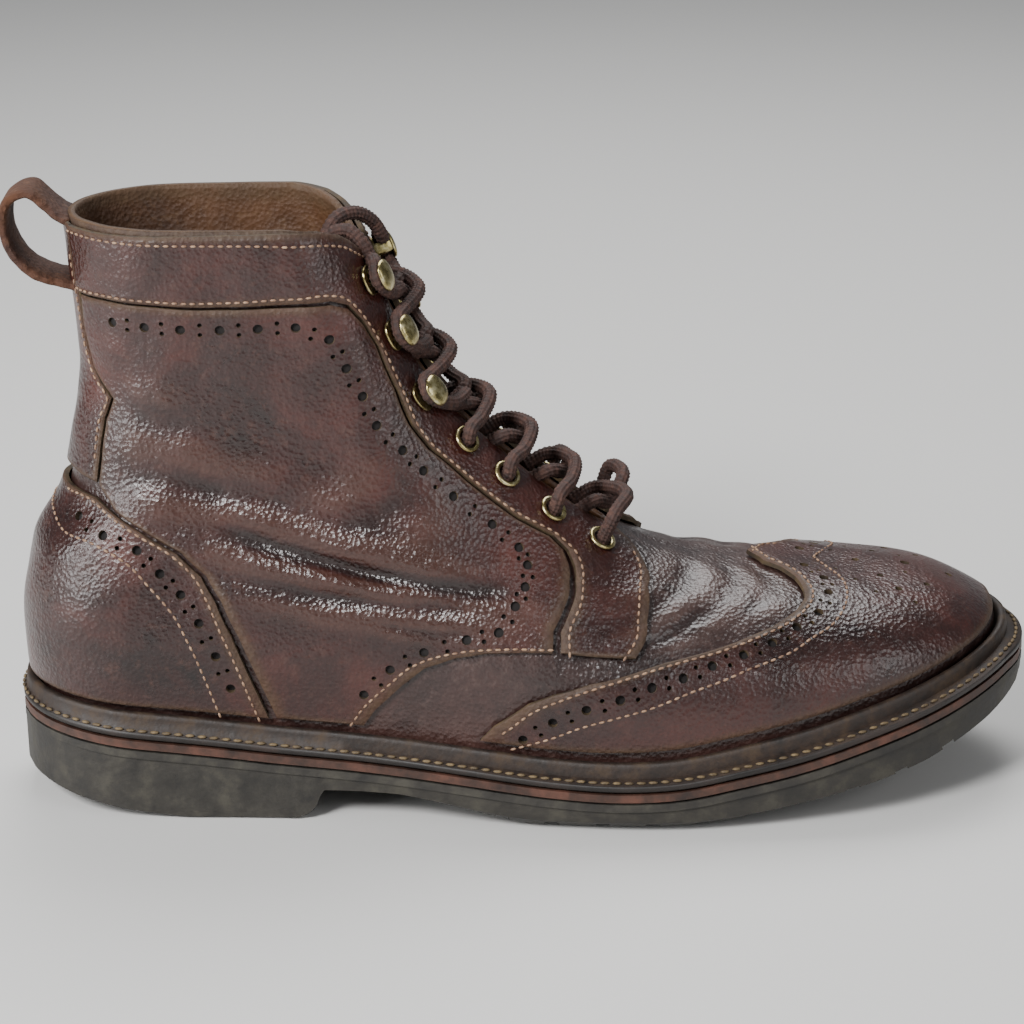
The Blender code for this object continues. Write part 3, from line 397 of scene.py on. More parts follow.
def half_width(x, z, side_table):
    """Half width of the last at a place in the side view."""
    share = np.clip(x / LAST_LENGTH, 0, 1)
    foot = feather_z(x)
    levels = np.array(LEVELS)
    columns = np.stack([spline(side_table[:, 0], side_table[:, k], share) for k in (1, 2, 3, 4)], -1)
    slopes = np.gradient(columns, levels, axis=-1)
    height = np.clip((z - foot) / SHAFT, 0, 1)
    i = np.clip(np.searchsorted(levels, height) - 1, 0, 2)
    step = levels[i + 1] - levels[i]
    t = np.clip((height - levels[i]) / step, 0, 1)

    def pick(table, k):
        return np.take_along_axis(table, k[..., None], -1)[..., 0]

    body = ((1 + 2 * t) * (1 - t) ** 2 * pick(columns, i) + t * (1 - t) ** 2 * step * pick(slopes, i)
            + t * t * (3 - 2 * t) * pick(columns, i + 1)
            + t * t * (t - 1) * step * pick(slopes, i + 1)) * HALF_BALL
    plan = rounding((1 - share) / TOE_ROUND, 2.15)
    ridge = ridge_z(x)
    rise = np.maximum(ridge - foot, 1e-5)
    depth = (rise ** -6.0 + (TOP_DEPTH * SHAFT) ** -6.0) ** (-1 / 6)
    top = rounding((ridge - z) / depth, 2.45)
    back = rounding((x - back_x(z)) / (HEEL_ROUND * LAST_LENGTH), 2.1)
    return body * plan * top * back


def arc_shares(x, z):
    run = np.concatenate([[0], np.cumsum(np.hypot(np.diff(x), np.diff(z)))])
    return run / run[-1]


def front_curve(samples=900):
    """From the toe's tip over the instep to the collar."""
    t = np.linspace(0, 1, samples)
    x = LAST_LENGTH * (1 - (1 - COLLAR_AT) * (1 - np.cos(t * math.pi / 2)))
    z = ridge_z(x)
    z[0] = feather_z(LAST_LENGTH)
    return x, z, arc_shares(x, z)


def back_curve(samples=700):
    foot = HEEL_SEAT * FEATHER[0, 1]
    z = np.linspace(foot, HEEL_SEAT + SHAFT, samples)
    x = back_x(z)
    return x, z, arc_shares(x, z)


FRONT_X, FRONT_Z, FRONT_SHARE = front_curve()
BACK_X, BACK_Z, BACK_SHARE = back_curve()


def form(u, v):
    """Points of the boot's outer form, in metres from the last's heel.

    u goes round from the heel seam (0) along the outer side to the front line (1) and back
    along the inner side (1 to 2, or 0 to -1).  v goes up from the feather line (0) to the collar (1).
    """
    u, v = np.broadcast_arrays(np.asarray(u, float), np.asarray(v, float))
    around = (u + 1) % 2 - 1
    part = (1 - np.cos(math.pi * np.abs(around))) / 2
    rise = np.clip(v, 0, 1)
    back = np.interp(rise, BACK_SHARE, BACK_X), np.interp(rise, BACK_SHARE, BACK_Z)
    front = np.interp(rise, FRONT_SHARE, FRONT_X), np.interp(rise, FRONT_SHARE, FRONT_Z)
    x = back[0] + (front[0] - back[0]) * part
    z = back[1] + (front[1] - back[1]) * part
    foot_x = BACK_X[0] + (LAST_LENGTH - BACK_X[0]) * part
    foot_line = BACK_Z[0] + (FRONT_Z[0] - BACK_Z[0]) * part
    z = z + (1 - rise) ** 3 * (feather_z(foot_x) - foot_line)
    level = np.maximum(z, feather_z(x))
    outer = -half_width(x, level, OUTER_SIDE)
    inner = half_width(x, level, INNER_SIDE)
    y = centre_y(x) + np.where(around >= 0, outer, inner)
    return np.stack([x, y, z], -1)


def unit(vectors):
    return vectors / np.linalg.norm(vectors, axis=-1, keepdims=True)


def normal(u, v, turn=0.012, step=0.004):
    """Outward normal of the form."""
    along = form(u + turn, v) - form(u - turn, v)
    up = form(u, np.minimum(v + step, 1)) - form(u, np.maximum(v - step, 0))
    return unit(np.cross(along, up))


print("heel seam at collar", form(0.0, 1.0).round(4))

# %% [markdown]
# Walking leaves folds: long ones across the vamp where the toes bend, and soft level ones round the
# ankle. Each is a line on the pattern with a sunk middle and a raised lip on both sides. Every piece
# that crosses a fold reads the same function, so stacked leathers crease together.

# %% Creases
ROUND_MM, UP_MM = 190.0, 175.0     # millimetres of leather to one share, near the folds
FOLDS = (                          # depth and half width in mm, then the line: round, up
    (0.48, 2.6, ((0.700, 0.215), (0.780, 0.262), (0.860, 0.300), (0.940, 0.345), (1.060, 0.352))),
    (0.42, 2.0, ((0.735, 0.205), (0.810, 0.240), (0.890, 0.275), (0.970, 0.320), (1.080, 0.322))),
    (0.44, 2.4, ((0.680, 0.245), (0.750, 0.300), (0.830, 0.345), (0.920, 0.385), (1.060, 0.392))),
    (0.50, 1.8, ((0.640, 0.200), (0.700, 0.222), (0.750, 0.255), (0.790, 0.300))),
    (1.30, 4.6, ((0.335, 0.455), (0.400, 0.425), (0.480, 0.398), (0.560, 0.385), (0.650, 0.395))),
    (0.80, 4.0, ((0.350, 0.330), (0.430, 0.312), (0.520, 0.318), (0.600, 0.345))),
    (0.60, 4.4, ((0.200, 0.500), (0.290, 0.530), (0.390, 0.520), (0.480, 0.535))),
    (0.55, 3.6, ((0.470, 0.480), (0.550, 0.520), (0.620, 0.580), (0.665, 0.640))),
    (0.40, 4.0, ((0.210, 0.650), (0.300, 0.640), (0.390, 0.665))),
    (0.30, 2.2, ((0.440, 0.262), (0.510, 0.252), (0.570, 0.272))))


def line_distance(u, v, line):
    """Distance in mm to a line on the pattern, signed by side, and the share along it."""
    best = np.full(u.shape, 1e9)
    side = np.zeros(u.shape)
    along = np.zeros(u.shape)
    for k, ((a, b), (c, d)) in enumerate(zip(line, line[1:])):
        dx, dy = (c - a) * ROUND_MM, (d - b) * UP_MM
        px, py = (u - a) * ROUND_MM, (v - b) * UP_MM
        t = np.clip((px * dx + py * dy) / (dx * dx + dy * dy), 0, 1)
        away = np.hypot(px - t * dx, py - t * dy)
        near = away < best
        best = np.where(near, away, best)
        side = np.where(near, np.sign(dx * py - dy * px), side)
        along = np.where(near, (k + t) / (len(line) - 1), along)
    return best, side, along


def relief(u, v):
    """Height of folds and slack over the form in metres, and the crease value that paints shade into the folds'
    hollows and a highlight on their lips.
    """
    around = np.abs((u + 1) % 2 - 1)
    outer = np.where((u + 1) % 2 - 1 >= 0, 1.0, 0.8)
    folds = np.zeros(around.shape)
    for depth, width, line in FOLDS:
        away, side, along = line_distance(around, v, line)
        fade = np.clip(np.sin(math.pi * np.clip(along, 0.02, 0.98)) * 1.4, 0, 1)
        wave = 1 + 0.25 * np.sin(along * 17 + depth * 9)
        sunk = np.exp(-(away / width) ** 2)
        lip = np.exp(-((away - 2.1 * width) / (1.3 * width)) ** 2)
        folds += depth * fade * wave * (0.75 * lip - sunk) * 0.001 * outer
    slack = 0.00030 * np.sin(u * 23 + 4 * v) * np.sin(v * 19 - 3 * u) + 0.00016 * np.sin(u * 51 - v * 37)
    bent = np.exp(-((around - 0.45) / 0.20) ** 2 - ((v - 0.50) / 0.20) ** 2)
    warp = 2.2 * np.sin(u * 31 + v * 17) + 1.3 * np.sin(u * 67 - v * 41)
    slack = slack + 0.00013 * bent * np.sin(v * 330 + u * 60 + warp) * (0.6 + 0.4 * np.sin(u * 90 + v * 60))
    flat = np.clip(v / 0.10, 0, 1) * np.clip((1.02 - v) / 0.08, 0, 1)
    return (folds + slack) * flat, np.clip(folds / 0.0007, -1, 1)


def place(u, v, offset, creased=True):
    """A point over (or under) the form's surface, in the part's frame."""
    u, v, offset = np.broadcast_arrays(*[np.asarray(a, float) for a in (u, v, offset)])
    high = relief(u, v)[0] if creased else 0.0
    return form(u, v) + normal(u, v) * (offset + high)[..., None] - [HEEL_TREAD_X, 0, 0]


print("folds", len(FOLDS))

# %% [markdown]
# ## Cutting leather
# A piece is an outline filled with a fine triangle net. The net is constrained by the outline and by
# a ring for every punched hole, so the holes are real. The edge drops over a narrow bevel, and its
# wall is raw leather. Delaunay suits this because holes can lie anywhere.

# %% The pattern
SEAM = 0.003               # an overlay's edge stays this share inside its outline
THROAT = 0.491             # foot of the lacing slit on the front line
SLIT = np.array([          # up, round
    (0.491, 0.990), (0.50, 0.968), (0.52, 0.952), (0.55, 0.944), (0.60, 0.936), (0.68, 0.922),
    (0.77, 0.935), (0.85, 0.947), (0.92, 0.952), (1.00, 0.955)])
COLLAR_DIP = np.array([    # round, up
    (0.00, 1.0), (0.70, 1.0), (0.80, 0.995), (0.853, 0.987), (0.90, 0.973), (0.94, 0.955), (1.00, 0.930)])
COUNTER = ((0.336, 0.014), (0.337, 0.19), (0.333, 0.268), (0.324, 0.322), (0.296, 0.371), (0.241, 0.410),
           (0.196, 0.433), (0.155, 0.450), (0.08, 0.446), (0.00, 0.442))
BACKSTAY = ((0.160, 0.475), (0.168, 0.53), (0.173, 0.613), (0.190, 0.658), (0.135, 0.709), (0.119, 0.794),
            (0.103, 0.855), (0.110, 0.92), (0.120, 0.992))
COLLAR_SEAM = ((0.125, 0.854), (0.295, 0.867), (0.451, 0.878), (0.669, 0.899), (0.748, 0.903),
               (0.790, 0.896), (0.812, 0.872), (0.820, 0.842), (0.802, 0.779), (0.764, 0.721),
               (0.745, 0.672), (0.752, 0.615), (0.772, 0.544), (0.793, 0.507), (0.784, 0.479),
               (0.755, 0.444), (0.713, 0.398), (0.660, 0.327), (0.619, 0.269), (0.595, 0.217))
TAB_FRONT = ((0.643, 0.178), (0.672, 0.215), (0.701, 0.260), (0.761, 0.336), (0.830, 0.395),
             (0.875, 0.428), (0.925, 0.458), (0.952, 0.480))
QUARTER_FOOT = ((0.593, 0.215), (0.571, 0.218), (0.540, 0.210), (0.510, 0.189), (0.477, 0.152),
                (0.447, 0.102), (0.418, 0.050), (0.402, 0.014))
WING = ((0.472, 0.014), (0.490, 0.047), (0.528, 0.099), (0.554, 0.123), (0.589, 0.146), (0.654, 0.164),
        (0.721, 0.170), (0.767, 0.178), (0.812, 0.194), (0.851, 0.213), (0.879, 0.232), (0.912, 0.255),
        (0.940, 0.280), (0.958, 0.304), (1.000, 0.326))

FINE_U, FINE_V = 0.0050, 0.0058    # spacing of the net, as shares
BEVEL = 0.0030                     # width of the rolled edge, as a share
ROLL = 0.00045                     # how far it drops
HOLE_SIDES = 12
HOLE_ROOM = 1.25                   # net points keep out of a ring this much wider than its hole
PARTS = bpy.context.scene.collection


def densify(outline, step):
    """Points along a closed outline, no further apart than one step."""
    points = []
    for (a, b), (c, d) in zip(outline, outline[1:] + outline[:1]):
        count = max(1, math.ceil(math.hypot(c - a, d - b) / step))
        points += [(a + (c - a) * k / count, b + (d - b) * k / count) for k in range(count)]
    return points


def inset(outline, share):
    """A counter-clockwise outline moved inward by one distance on every side."""
    moved = []
    for before, here, after in zip(outline[-1:] + outline[:-1], outline, outline[1:] + outline[:1]):
        one = (Vector(here) - Vector(before)).normalized()
        two = (Vector(after) - Vector(here)).normalized()
        first = Vector((-one.y, one.x))
        second = Vector((-two.y, two.x))
        both = (first + second).normalized()
        moved.append(tuple(Vector(here) + both * (share / max(0.5, both.dot(first)))))
    return moved


def mirrored(outline):
    """The same outline on the inner side of the foot, still counter-clockwise."""
    return [(-u, v) for u, v in reversed(outline)]


def quarter_outline():
    """Counter's edge, foot edge, the collar's seam and the backstay's edge."""
    foot = ((COUNTER[0][0], COUNTER[0][1]),) + tuple(reversed(QUARTER_FOOT))
    behind = tuple(p for p in reversed(BACKSTAY) if p[1] < COLLAR_SEAM[0][1])
    heel = tuple(p for p in reversed(COUNTER[1:]) if p[0] >= BACKSTAY[0][0])
    return foot + tuple(reversed(COLLAR_SEAM)) + behind + heel


def collar_outline():
    """Collar band and facing in one piece, down to the tab on the vamp."""
    slit = tuple((u, v) for v, u in SLIT if TAB_FRONT[-1][1] + 0.015 < v < COLLAR_DIP[-2][1])
    top = tuple((u, v) for u, v in reversed(COLLAR_DIP[1:-1]))
    behind = tuple(p for p in reversed(BACKSTAY) if p[1] > COLLAR_SEAM[0][1])
    return COLLAR_SEAM + TAB_FRONT + slit + top + behind


def inside_all(points, outline):
    """Which points lie inside a closed outline."""
    x, y = points[:, 0], points[:, 1]
    hit = np.zeros(len(points), bool)
    for (a, b), (c, d) in zip(outline, outline[1:] + outline[:1]):
        if b == d:
            continue
        hit ^= ((b > y) != (d > y)) & (x < (c - a) * (y - b) / (d - b) + a)
    return hit


def clearance(points, outline):
    """Distance of every point from a closed outline."""
    best = np.full(len(points), 1e9)
    for a, b in zip(outline, outline[1:] + outline[:1]):
        a, b = np.array(a), np.array(b)
        run = b - a
        t = np.clip((points - a) @ run / max(run @ run, 1e-12), 0, 1)
        best = np.minimum(best, np.linalg.norm(points - a - t[:, None] * run, axis=1))
    return best


def hole_ring(u, v, radius, sides=HOLE_SIDES):
    """A circle of the given radius on the surface, as pattern shares."""
    h = 0.004
    a = (form(u + h, v) - form(u - h, v)) / (2 * h)
    b = (form(u, v + h) - form(u, max(v - h, 0.0))) / (v + h - max(v - h, 0.0))
    size = np.linalg.norm(a)
    lean = b @ a / size
    square = math.sqrt(max(b @ b - lean * lean, 1e-9))
    ring = []
    for k in range(sides):
        angle = 2 * math.pi * k / sides
        dv = radius * math.sin(angle) / square
        ring.append((u + (radius * math.cos(angle) - dv * lean) / size, v + dv))
    return ring


def net(border, rings, fill):
    """Triangles between a border and its holes."""
    points = list(border)
    edges = [(k, (k + 1) % len(border)) for k in range(len(border))]
    owner = {}
    for number, ring in enumerate(rings):
        start = len(points)
        points += ring
        edges += [(start + k, start + (k + 1) % len(ring)) for k in range(len(ring))]
        owner.update({start + k: number for k in range(len(ring))})
    points += fill
    found = delaunay_2d_cdt([Vector(p) for p in points], edges, [list(range(len(border)))], 1, 1e-7)
    source = {}
    for new, olds in enumerate(found[3]):
        for old in olds:
            source[new] = old
    faces = []
    for face in found[2]:
        holes = {owner.get(source.get(k)) for k in face}
        if len(holes) > 1 or None in holes:
            faces.append(tuple(face))
    return [tuple(p) for p in found[0]], faces


def new_piece(name, verts, faces, mats, slots=None, attributes=None, sharp=40):
    mesh = bpy.data.meshes.new(name)
    mesh.from_pydata([tuple(p) for p in verts], [], faces)
    for mat in mats:
        mesh.materials.append(mat)
    if slots is not None:
        mesh.polygons.foreach_set("material_index", np.asarray(slots, dtype=np.int32))
    for key, values in (attributes or {}).items():
        layer = mesh.attributes.new(key, "FLOAT", "POINT")
        layer.data.foreach_set("value", np.asarray(values, dtype=np.float32))
    mesh.update()
    mesh.shade_smooth()
    mesh.set_sharp_from_angle(angle=math.radians(sharp))
    obj = bpy.data.objects.new(name, mesh)
    PARTS.objects.link(obj)
    return obj


def stands_for(piece, slot, *nodes):
    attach(piece, "root")
    if nodes:
        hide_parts(*nodes)
    print(piece.name, len(piece.data.polygons), "faces")


def leather_piece(name, outline, thickness, mat, holes=()):
    """A cut leather: fine top with a rolled edge, raw walls, and a plain underside."""
    edge = inset([tuple(p) for p in outline], SEAM)
    border = densify(edge, 0.007)
    rolled = np.array(densify(inset(edge, BEVEL), 0.007))
    rolled = rolled[inside_all(rolled, border)]
    rolled = rolled[clearance(rolled, border) > BEVEL / 3]
    rings = [hole_ring(*hole) for hole in holes]
    lo, hi = np.min(border, 0), np.max(border, 0)
    us, vs = np.arange(lo[0], hi[0], FINE_U), np.arange(lo[1], hi[1], FINE_V)
    grid = np.stack(np.meshgrid(us, vs), -1).reshape(-1, 2)
    grid = grid[inside_all(grid, border)]
    grid = grid[clearance(grid, border) > BEVEL + 0.0022]
    for ring in rings:
        middle = np.mean(ring, 0)
        wide = (np.array(ring) - middle) * HOLE_ROOM + middle
        grid = grid[~inside_all(grid, [tuple(p) for p in wide])]
    top, top_faces = net(border, rings, [tuple(p) for p in rolled] + [tuple(p) for p in grid])
    flat = np.array(top)
    near = clearance(flat, border)
    drop = ROLL * np.clip(1 - near / BEVEL, 0, 1) ** 2
    bottom, bottom_faces = net(border, rings, [tuple(p) for p in grid[::9]])
    under = np.array(bottom)
    verts = list(place(flat[:, 0], flat[:, 1], LIFT - BASE_DEPTH + thickness - drop))
    verts += list(place(under[:, 0], under[:, 1], LIFT - BASE_DEPTH))
    shift = len(top)
    faces = list(top_faces)
    slots = [0] * len(faces)
    faces += [tuple(shift + k for k in reversed(face)) for face in bottom_faces]
    slots += [1] * len(bottom_faces)
    # Walls stand on every edge that has a face on one side only, so borders and holes close alike
    below = {tuple(np.round(p, 6)): shift + k for k, p in enumerate(bottom)}
    sides = {side for face in top_faces for side in zip(face, face[1:] + face[:1])}
    for a, b in sorted(sides):
        if (b, a) not in sides:
            faces.append((b, a, below[tuple(np.round(top[a], 6))], below[tuple(np.round(top[b], 6))]))
            slots.append(1)
    crease = list(relief(flat[:, 0], flat[:, 1])[1]) + [0.0] * len(under)
    worn = list(np.clip(1.3 - near / 0.010, 0, 1)) + [1.0] * len(under)
    return new_piece(name, verts, faces, [mat, RAW_EDGE], slots, {"crease": crease, "edge": worn})


print("net spacing", FINE_U, FINE_V)

# %% [markdown]
# Broguing is punched by hand: one big hole, then a pair of small ones, along each edge. The rows are
# lists of the big holes, and the pairs are set half way between them, square to the row.

# %% Punched holes
BIG_HOLE, SMALL_HOLE, PAIR_APART = 0.00150, 0.00072, 0.0030
WING_HOLES = ((0.508, 0.031), (0.538, 0.068), (0.569, 0.094), (0.598, 0.109), (0.626, 0.121),
              (0.652, 0.125), (0.681, 0.135), (0.711, 0.139), (0.741, 0.143), (0.779, 0.157),
              (0.820, 0.169), (0.874, 0.195), (0.920, 0.220), (0.965, 0.253))
COUNTER_HOLES = ((0.133, 0.397), (0.192, 0.378), (0.245, 0.363), (0.277, 0.316), (0.297, 0.274),
                 (0.309, 0.215), (0.313, 0.143), (0.314, 0.075))
FACING_HOLES = ((0.153, 0.882), (0.240, 0.890), (0.318, 0.897), (0.397, 0.904), (0.477, 0.913),
                (0.555, 0.922), (0.637, 0.930))
MEDALLION = ((1.000, 0.130, 1.0), (1.000, 0.190, 0.8), (1.000, 0.075, 0.8), (0.955, 0.160, 0.7),
             (0.955, 0.105, 0.7), (1.045, 0.160, 0.7), (1.045, 0.105, 0.7), (0.925, 0.132, 0.8),
             (1.075, 0.132, 0.8), (0.975, 0.132, 0.45), (1.025, 0.132, 0.45), (0.900, 0.150, 0.5),
             (1.100, 0.150, 0.5), (0.930, 0.185, 0.5), (1.070, 0.185, 0.5), (0.965, 0.215, 0.5),
             (1.035, 0.215, 0.5), (0.905, 0.105, 0.5), (1.095, 0.105, 0.5))


def punched(row, mirror=False):
    """Big holes along a row with a pair of small ones between each two."""
    sign = -1 if mirror else 1
    holes = [(sign * u, v, BIG_HOLE) for u, v in row]
    for (a, b), (c, d) in zip(row, row[1:]):
        u, v = (a + c) / 2, (b + d) / 2
        p, q = form(a, b), form(c, d)
        across = np.cross(normal(u, v), unit(q - p)) * PAIR_APART / 2
        h = 0.004
        frame_uv = np.stack([(form(u + h, v) - form(u - h, v)) / (2 * h),
                             (form(u, v + h) - form(u, v - h)) / (2 * h)], -1)
        du, dv = np.linalg.lstsq(frame_uv, across, rcond=None)[0]
        holes += [(sign * (u + du), v + dv, SMALL_HOLE), (sign * (u - du), v - dv, SMALL_HOLE)]
    return holes


QUARTER_HOLES = ((0.240, 0.823), (0.318, 0.828), (0.397, 0.837), (0.477, 0.846), (0.555, 0.856),
                 (0.637, 0.865), (0.702, 0.852), (0.709, 0.811), (0.708, 0.769), (0.688, 0.719),
                 (0.690, 0.672), (0.690, 0.632), (0.700, 0.585), (0.720, 0.535), (0.720, 0.490),
                 (0.699, 0.452), (0.655, 0.395), (0.615, 0.340), (0.570, 0.270), (0.535, 0.245),
                 (0.487, 0.197), (0.447, 0.142), (0.414, 0.081))
wing_holes = punched(WING_HOLES) + [(2 - u, v, r) for u, v, r in punched(WING_HOLES)]
medallion = [(u, v, BIG_HOLE * size) for u, v, size in MEDALLION]
print("wing holes", len(wing_holes))

# %% Leather pieces
counter_holes = punched(COUNTER_HOLES) + punched(COUNTER_HOLES, True)
piece = leather_piece("counter_leather", COUNTER + tuple(mirrored(COUNTER))[1:], RAISED, OXBLOOD, counter_holes)
stands_for(piece, "oxblood_leather", "counter")
piece = leather_piece("backstay_leather", tuple(mirrored(BACKSTAY)) + BACKSTAY, OVERLAY, OXBLOOD)
stands_for(piece, "oxblood_leather", "backstay")
wing_outline = tuple((2 - u, v) for u, v in WING) + tuple(reversed(WING))[1:]
piece = leather_piece("wing_cap_leather", wing_outline, RAISED, OXBLOOD, wing_holes + medallion)
stands_for(piece, "oxblood_leather", "toe_cap")
all_holes = [*counter_holes, *wing_holes, *medallion]
for side, turned in (("lateral", tuple), ("medial", mirrored)):
    row = punched(QUARTER_HOLES, side == "medial")
    all_holes += row
    piece = leather_piece(f"quarter_leather_{side}", turned(quarter_outline()), OVERLAY, OXBLOOD, row)
    stands_for(piece, "oxblood_leather", f"quarter_{side}")
    piece = leather_piece(f"collar_leather_{side}", turned(collar_outline()), RAISED, OXBLOOD)
    stands_for(piece, "oxblood_leather", f"collar_{side}")

# %% [markdown]
# The upper is one shell that closes round the foot and opens at the throat and the collar. It is laid
# in rings, as the solid is, with more rings over the vamp, where the folds are.

# %% The upper
UPPER_COLUMNS = 120
RIM, RIM_FADE = 0.968, 0.012    # the collar's rim is raw above this share
UPPER_LEVELS = np.concatenate([np.linspace(0, 0.14, 12), np.linspace(0.15, 0.485, 62), [THROAT],
                               [THROAT + 0.010], np.linspace(0.525, 1.0, 54)])


def upper_shell():
    verts, rings, creases, rims = [], [], [], []
    drops = [(0.0, UNDER_UPPER), (0.0, UNDER_UPPER / 2)] + [(float(v), 0.0) for v in UPPER_LEVELS]
    for v, drop in drops:
        slit = 1.0 if v <= THROAT else float(np.interp(v, SLIT[:, 0], SLIT[:, 1]))
        shares = np.linspace(0, 1, UPPER_COLUMNS) * slit
        dip = np.interp(shares, COLLAR_DIP[:, 0], COLLAR_DIP[:, 1]) - 1
        height = v + dip * np.clip((v - 0.8) / 0.2, 0, 1) ** 2
        last = UPPER_COLUMNS - 1 if slit == 1.0 else UPPER_COLUMNS
        start = len(verts)
        for sign, span in ((1, range(UPPER_COLUMNS)), (-1, range(1, last))):
            points = place(sign * shares, height, -BASE_DEPTH) - [0, 0, drop]
            creases += [float(c) for k, c in enumerate(relief(sign * shares, height)[1]) if k in span]
            verts += [points[k] for k in span]
            rims += [min(max((v - RIM) / RIM_FADE, 0.0), 1.0)] * len(span)
        left = [start + k for k in range(UPPER_COLUMNS)]
        other = [start] + [start + UPPER_COLUMNS + k for k in range(last - 1)]
        if slit == 1.0:
            other.append(start + UPPER_COLUMNS - 1)
        rings.append((left, other))
    faces = []
    for low, high in zip(rings, rings[1:]):
        for k in range(UPPER_COLUMNS - 1):
            faces.append((low[0][k], low[0][k + 1], high[0][k + 1], high[0][k]))
            faces.append((low[1][k + 1], low[1][k], high[1][k], high[1][k + 1]))
    return verts, faces, creases, rims


def give_wall(obj, thickness, offset):
    mod = obj.modifiers.new("wall", "SOLIDIFY")
    mod.thickness = thickness
    mod.offset = offset
    if len(obj.data.materials) > 1:
        mod.material_offset = 1
        mod.material_offset_rim = 1


verts, faces, creases, rims = upper_shell()
upper = new_piece("upper_leather", verts, faces, [VAMP_LEATHER, INSOLE], None,
                  {"crease": creases, "edge": rims})
give_wall(upper, WALL, -1.0)
stands_for(upper, "vamp_leather", "upper")

# %% [markdown]
# ## Stitches
# A seam is hundreds of equal stitches along a line, which is what Geometry Nodes do best. The line is
# a chain of points that know the surface's normal. The tree resamples it at the stitch's pitch and
# lays one small bead of thread on every point, turned along the seam.

# %% The stitch tree
def point_tree(name, resample):
    """Beads on the points of a line, or on single points where resample is off."""
    tree = bpy.data.node_groups.new(name, "GeometryNodeTree")
    tree.interface.new_socket("Geometry", in_out="INPUT", socket_type="NodeSocketGeometry")
    for title, value in (("Pitch", 0.0026), ("Length", 0.001), ("Width", 0.0005), ("Height", 0.0003)):
        socket = tree.interface.new_socket(title, in_out="INPUT", socket_type="NodeSocketFloat")
        socket.default_value = value
    tree.interface.new_socket("Material", in_out="INPUT", socket_type="NodeSocketMaterial")
    tree.interface.new_socket("Geometry", in_out="OUTPUT", socket_type="NodeSocketGeometry")
    given = add(tree, "NodeGroupInput").outputs
    out = add(tree, "NodeGroupOutput")
    points = given["Geometry"]
    facing = add(tree, "GeometryNodeInputNamedAttribute", {"Name": "facing"},
                 data_type="FLOAT_VECTOR").outputs["Attribute"]
    if resample:
        curve = add(tree, "GeometryNodeMeshToCurve", {"Mesh": points}).outputs["Curve"]
        held = add(tree, "GeometryNodeCaptureAttribute", {"Geometry": curve})
        held.capture_items.new("VECTOR", "facing")
        tree.links.new(facing, held.inputs["facing"])
        even = add(tree, "GeometryNodeResampleCurve", {"Curve": held.outputs["Geometry"],
                                                       "Length": given["Pitch"]}, mode="LENGTH")
        points, facing = even.outputs["Curve"], held.outputs["facing"]
        along = add(tree, "GeometryNodeInputTangent").outputs["Tangent"]
    else:
        along = add(tree, "GeometryNodeInputNamedAttribute", {"Name": "along"},
                    data_type="FLOAT_VECTOR").outputs["Attribute"]
    rotation = add(tree, "FunctionNodeAxesToRotation", {"Primary Axis": facing, "Secondary Axis": along},
                   primary_axis="Z", secondary_axis="X").outputs["Rotation"]
    ball = add(tree, "GeometryNodeMeshUVSphere", {"Segments": 6, "Rings": 4, "Radius": 1.0}).outputs["Mesh"]
    size = add(tree, "ShaderNodeCombineXYZ", {"X": given["Length"], "Y": given["Width"],
                                              "Z": given["Height"]}).outputs["Vector"]
    bead = add(tree, "GeometryNodeTransform", {"Geometry": ball, "Scale": size}).outputs["Geometry"]
    laid = add(tree, "GeometryNodeInstanceOnPoints", {"Points": points, "Instance": bead,
                                                      "Rotation": rotation}).outputs["Instances"]
    real = add(tree, "GeometryNodeRealizeInstances", {"Geometry": laid}).outputs["Geometry"]
    tree.links.new(add(tree, "GeometryNodeSetMaterial", {"Geometry": real, "Material": given["Material"]})
                   .outputs["Geometry"], out.inputs["Geometry"])
    return tree


SEAM_TREE = point_tree("stitches along a line", True)


def run_tree(name, tree, chains, mat, slot, values):
    """Chains of (points, normals) become one mesh of beads."""
    verts, edges, facings = [], [], []
    for points, normals in chains:
        start = len(verts)
        verts += [tuple(p) for p in points]
        facings += [tuple(n) for n in normals]
        edges += [(start + k, start + k + 1) for k in range(len(points) - 1)]
    mesh = bpy.data.meshes.new(name + "_lines")
    mesh.from_pydata(verts, edges, [])
    layer = mesh.attributes.new("facing", "FLOAT_VECTOR", "POINT")
    layer.data.foreach_set("vector", np.asarray(facings, dtype=np.float32).ravel())
    source = bpy.data.objects.new(name + "_lines", mesh)
    PARTS.objects.link(source)
    mod = source.modifiers.new("beads", "NODES")
    mod.node_group = tree
    for item in tree.interface.items_tree:
        if item.in_out == "INPUT" and item.name in values:
            mod[item.identifier] = values[item.name]
        if item.in_out == "INPUT" and item.name == "Material":
            mod[item.identifier] = mat
    graph = bpy.context.evaluated_depsgraph_get()
    result = bpy.data.meshes.new_from_object(source.evaluated_get(graph), depsgraph=graph)
    bpy.data.objects.remove(source)
    result.shade_smooth()
    obj = bpy.data.objects.new(name, result)
    PARTS.objects.link(obj)
    stands_for(obj, slot)
    return obj


def seam(line, lift, count=160):
    """A pattern line as points on the leather, with their normals."""
    line = np.array(line)
    run = np.concatenate([[0], np.cumsum(np.linalg.norm(np.diff(line, axis=0), axis=1))])
    at = np.linspace(0, run[-1], count)
    u, v = spline(run, line[:, 0], at), spline(run, line[:, 1], at)
    return place(u, v, lift), normal(u, v)


def beside(line, distance):
    """A pattern line moved sideways by a distance in mm."""
    pts = np.array(line) * [ROUND_MM, UP_MM]
    run = unit(np.gradient(pts, axis=0))
    moved = pts + np.stack([-run[:, 1], run[:, 0]], -1) * distance
    return [tuple(p) for p in moved / [ROUND_MM, UP_MM]]


def both(lines):
    return list(lines) + [[(-u, v) for u, v in line] for line in lines]


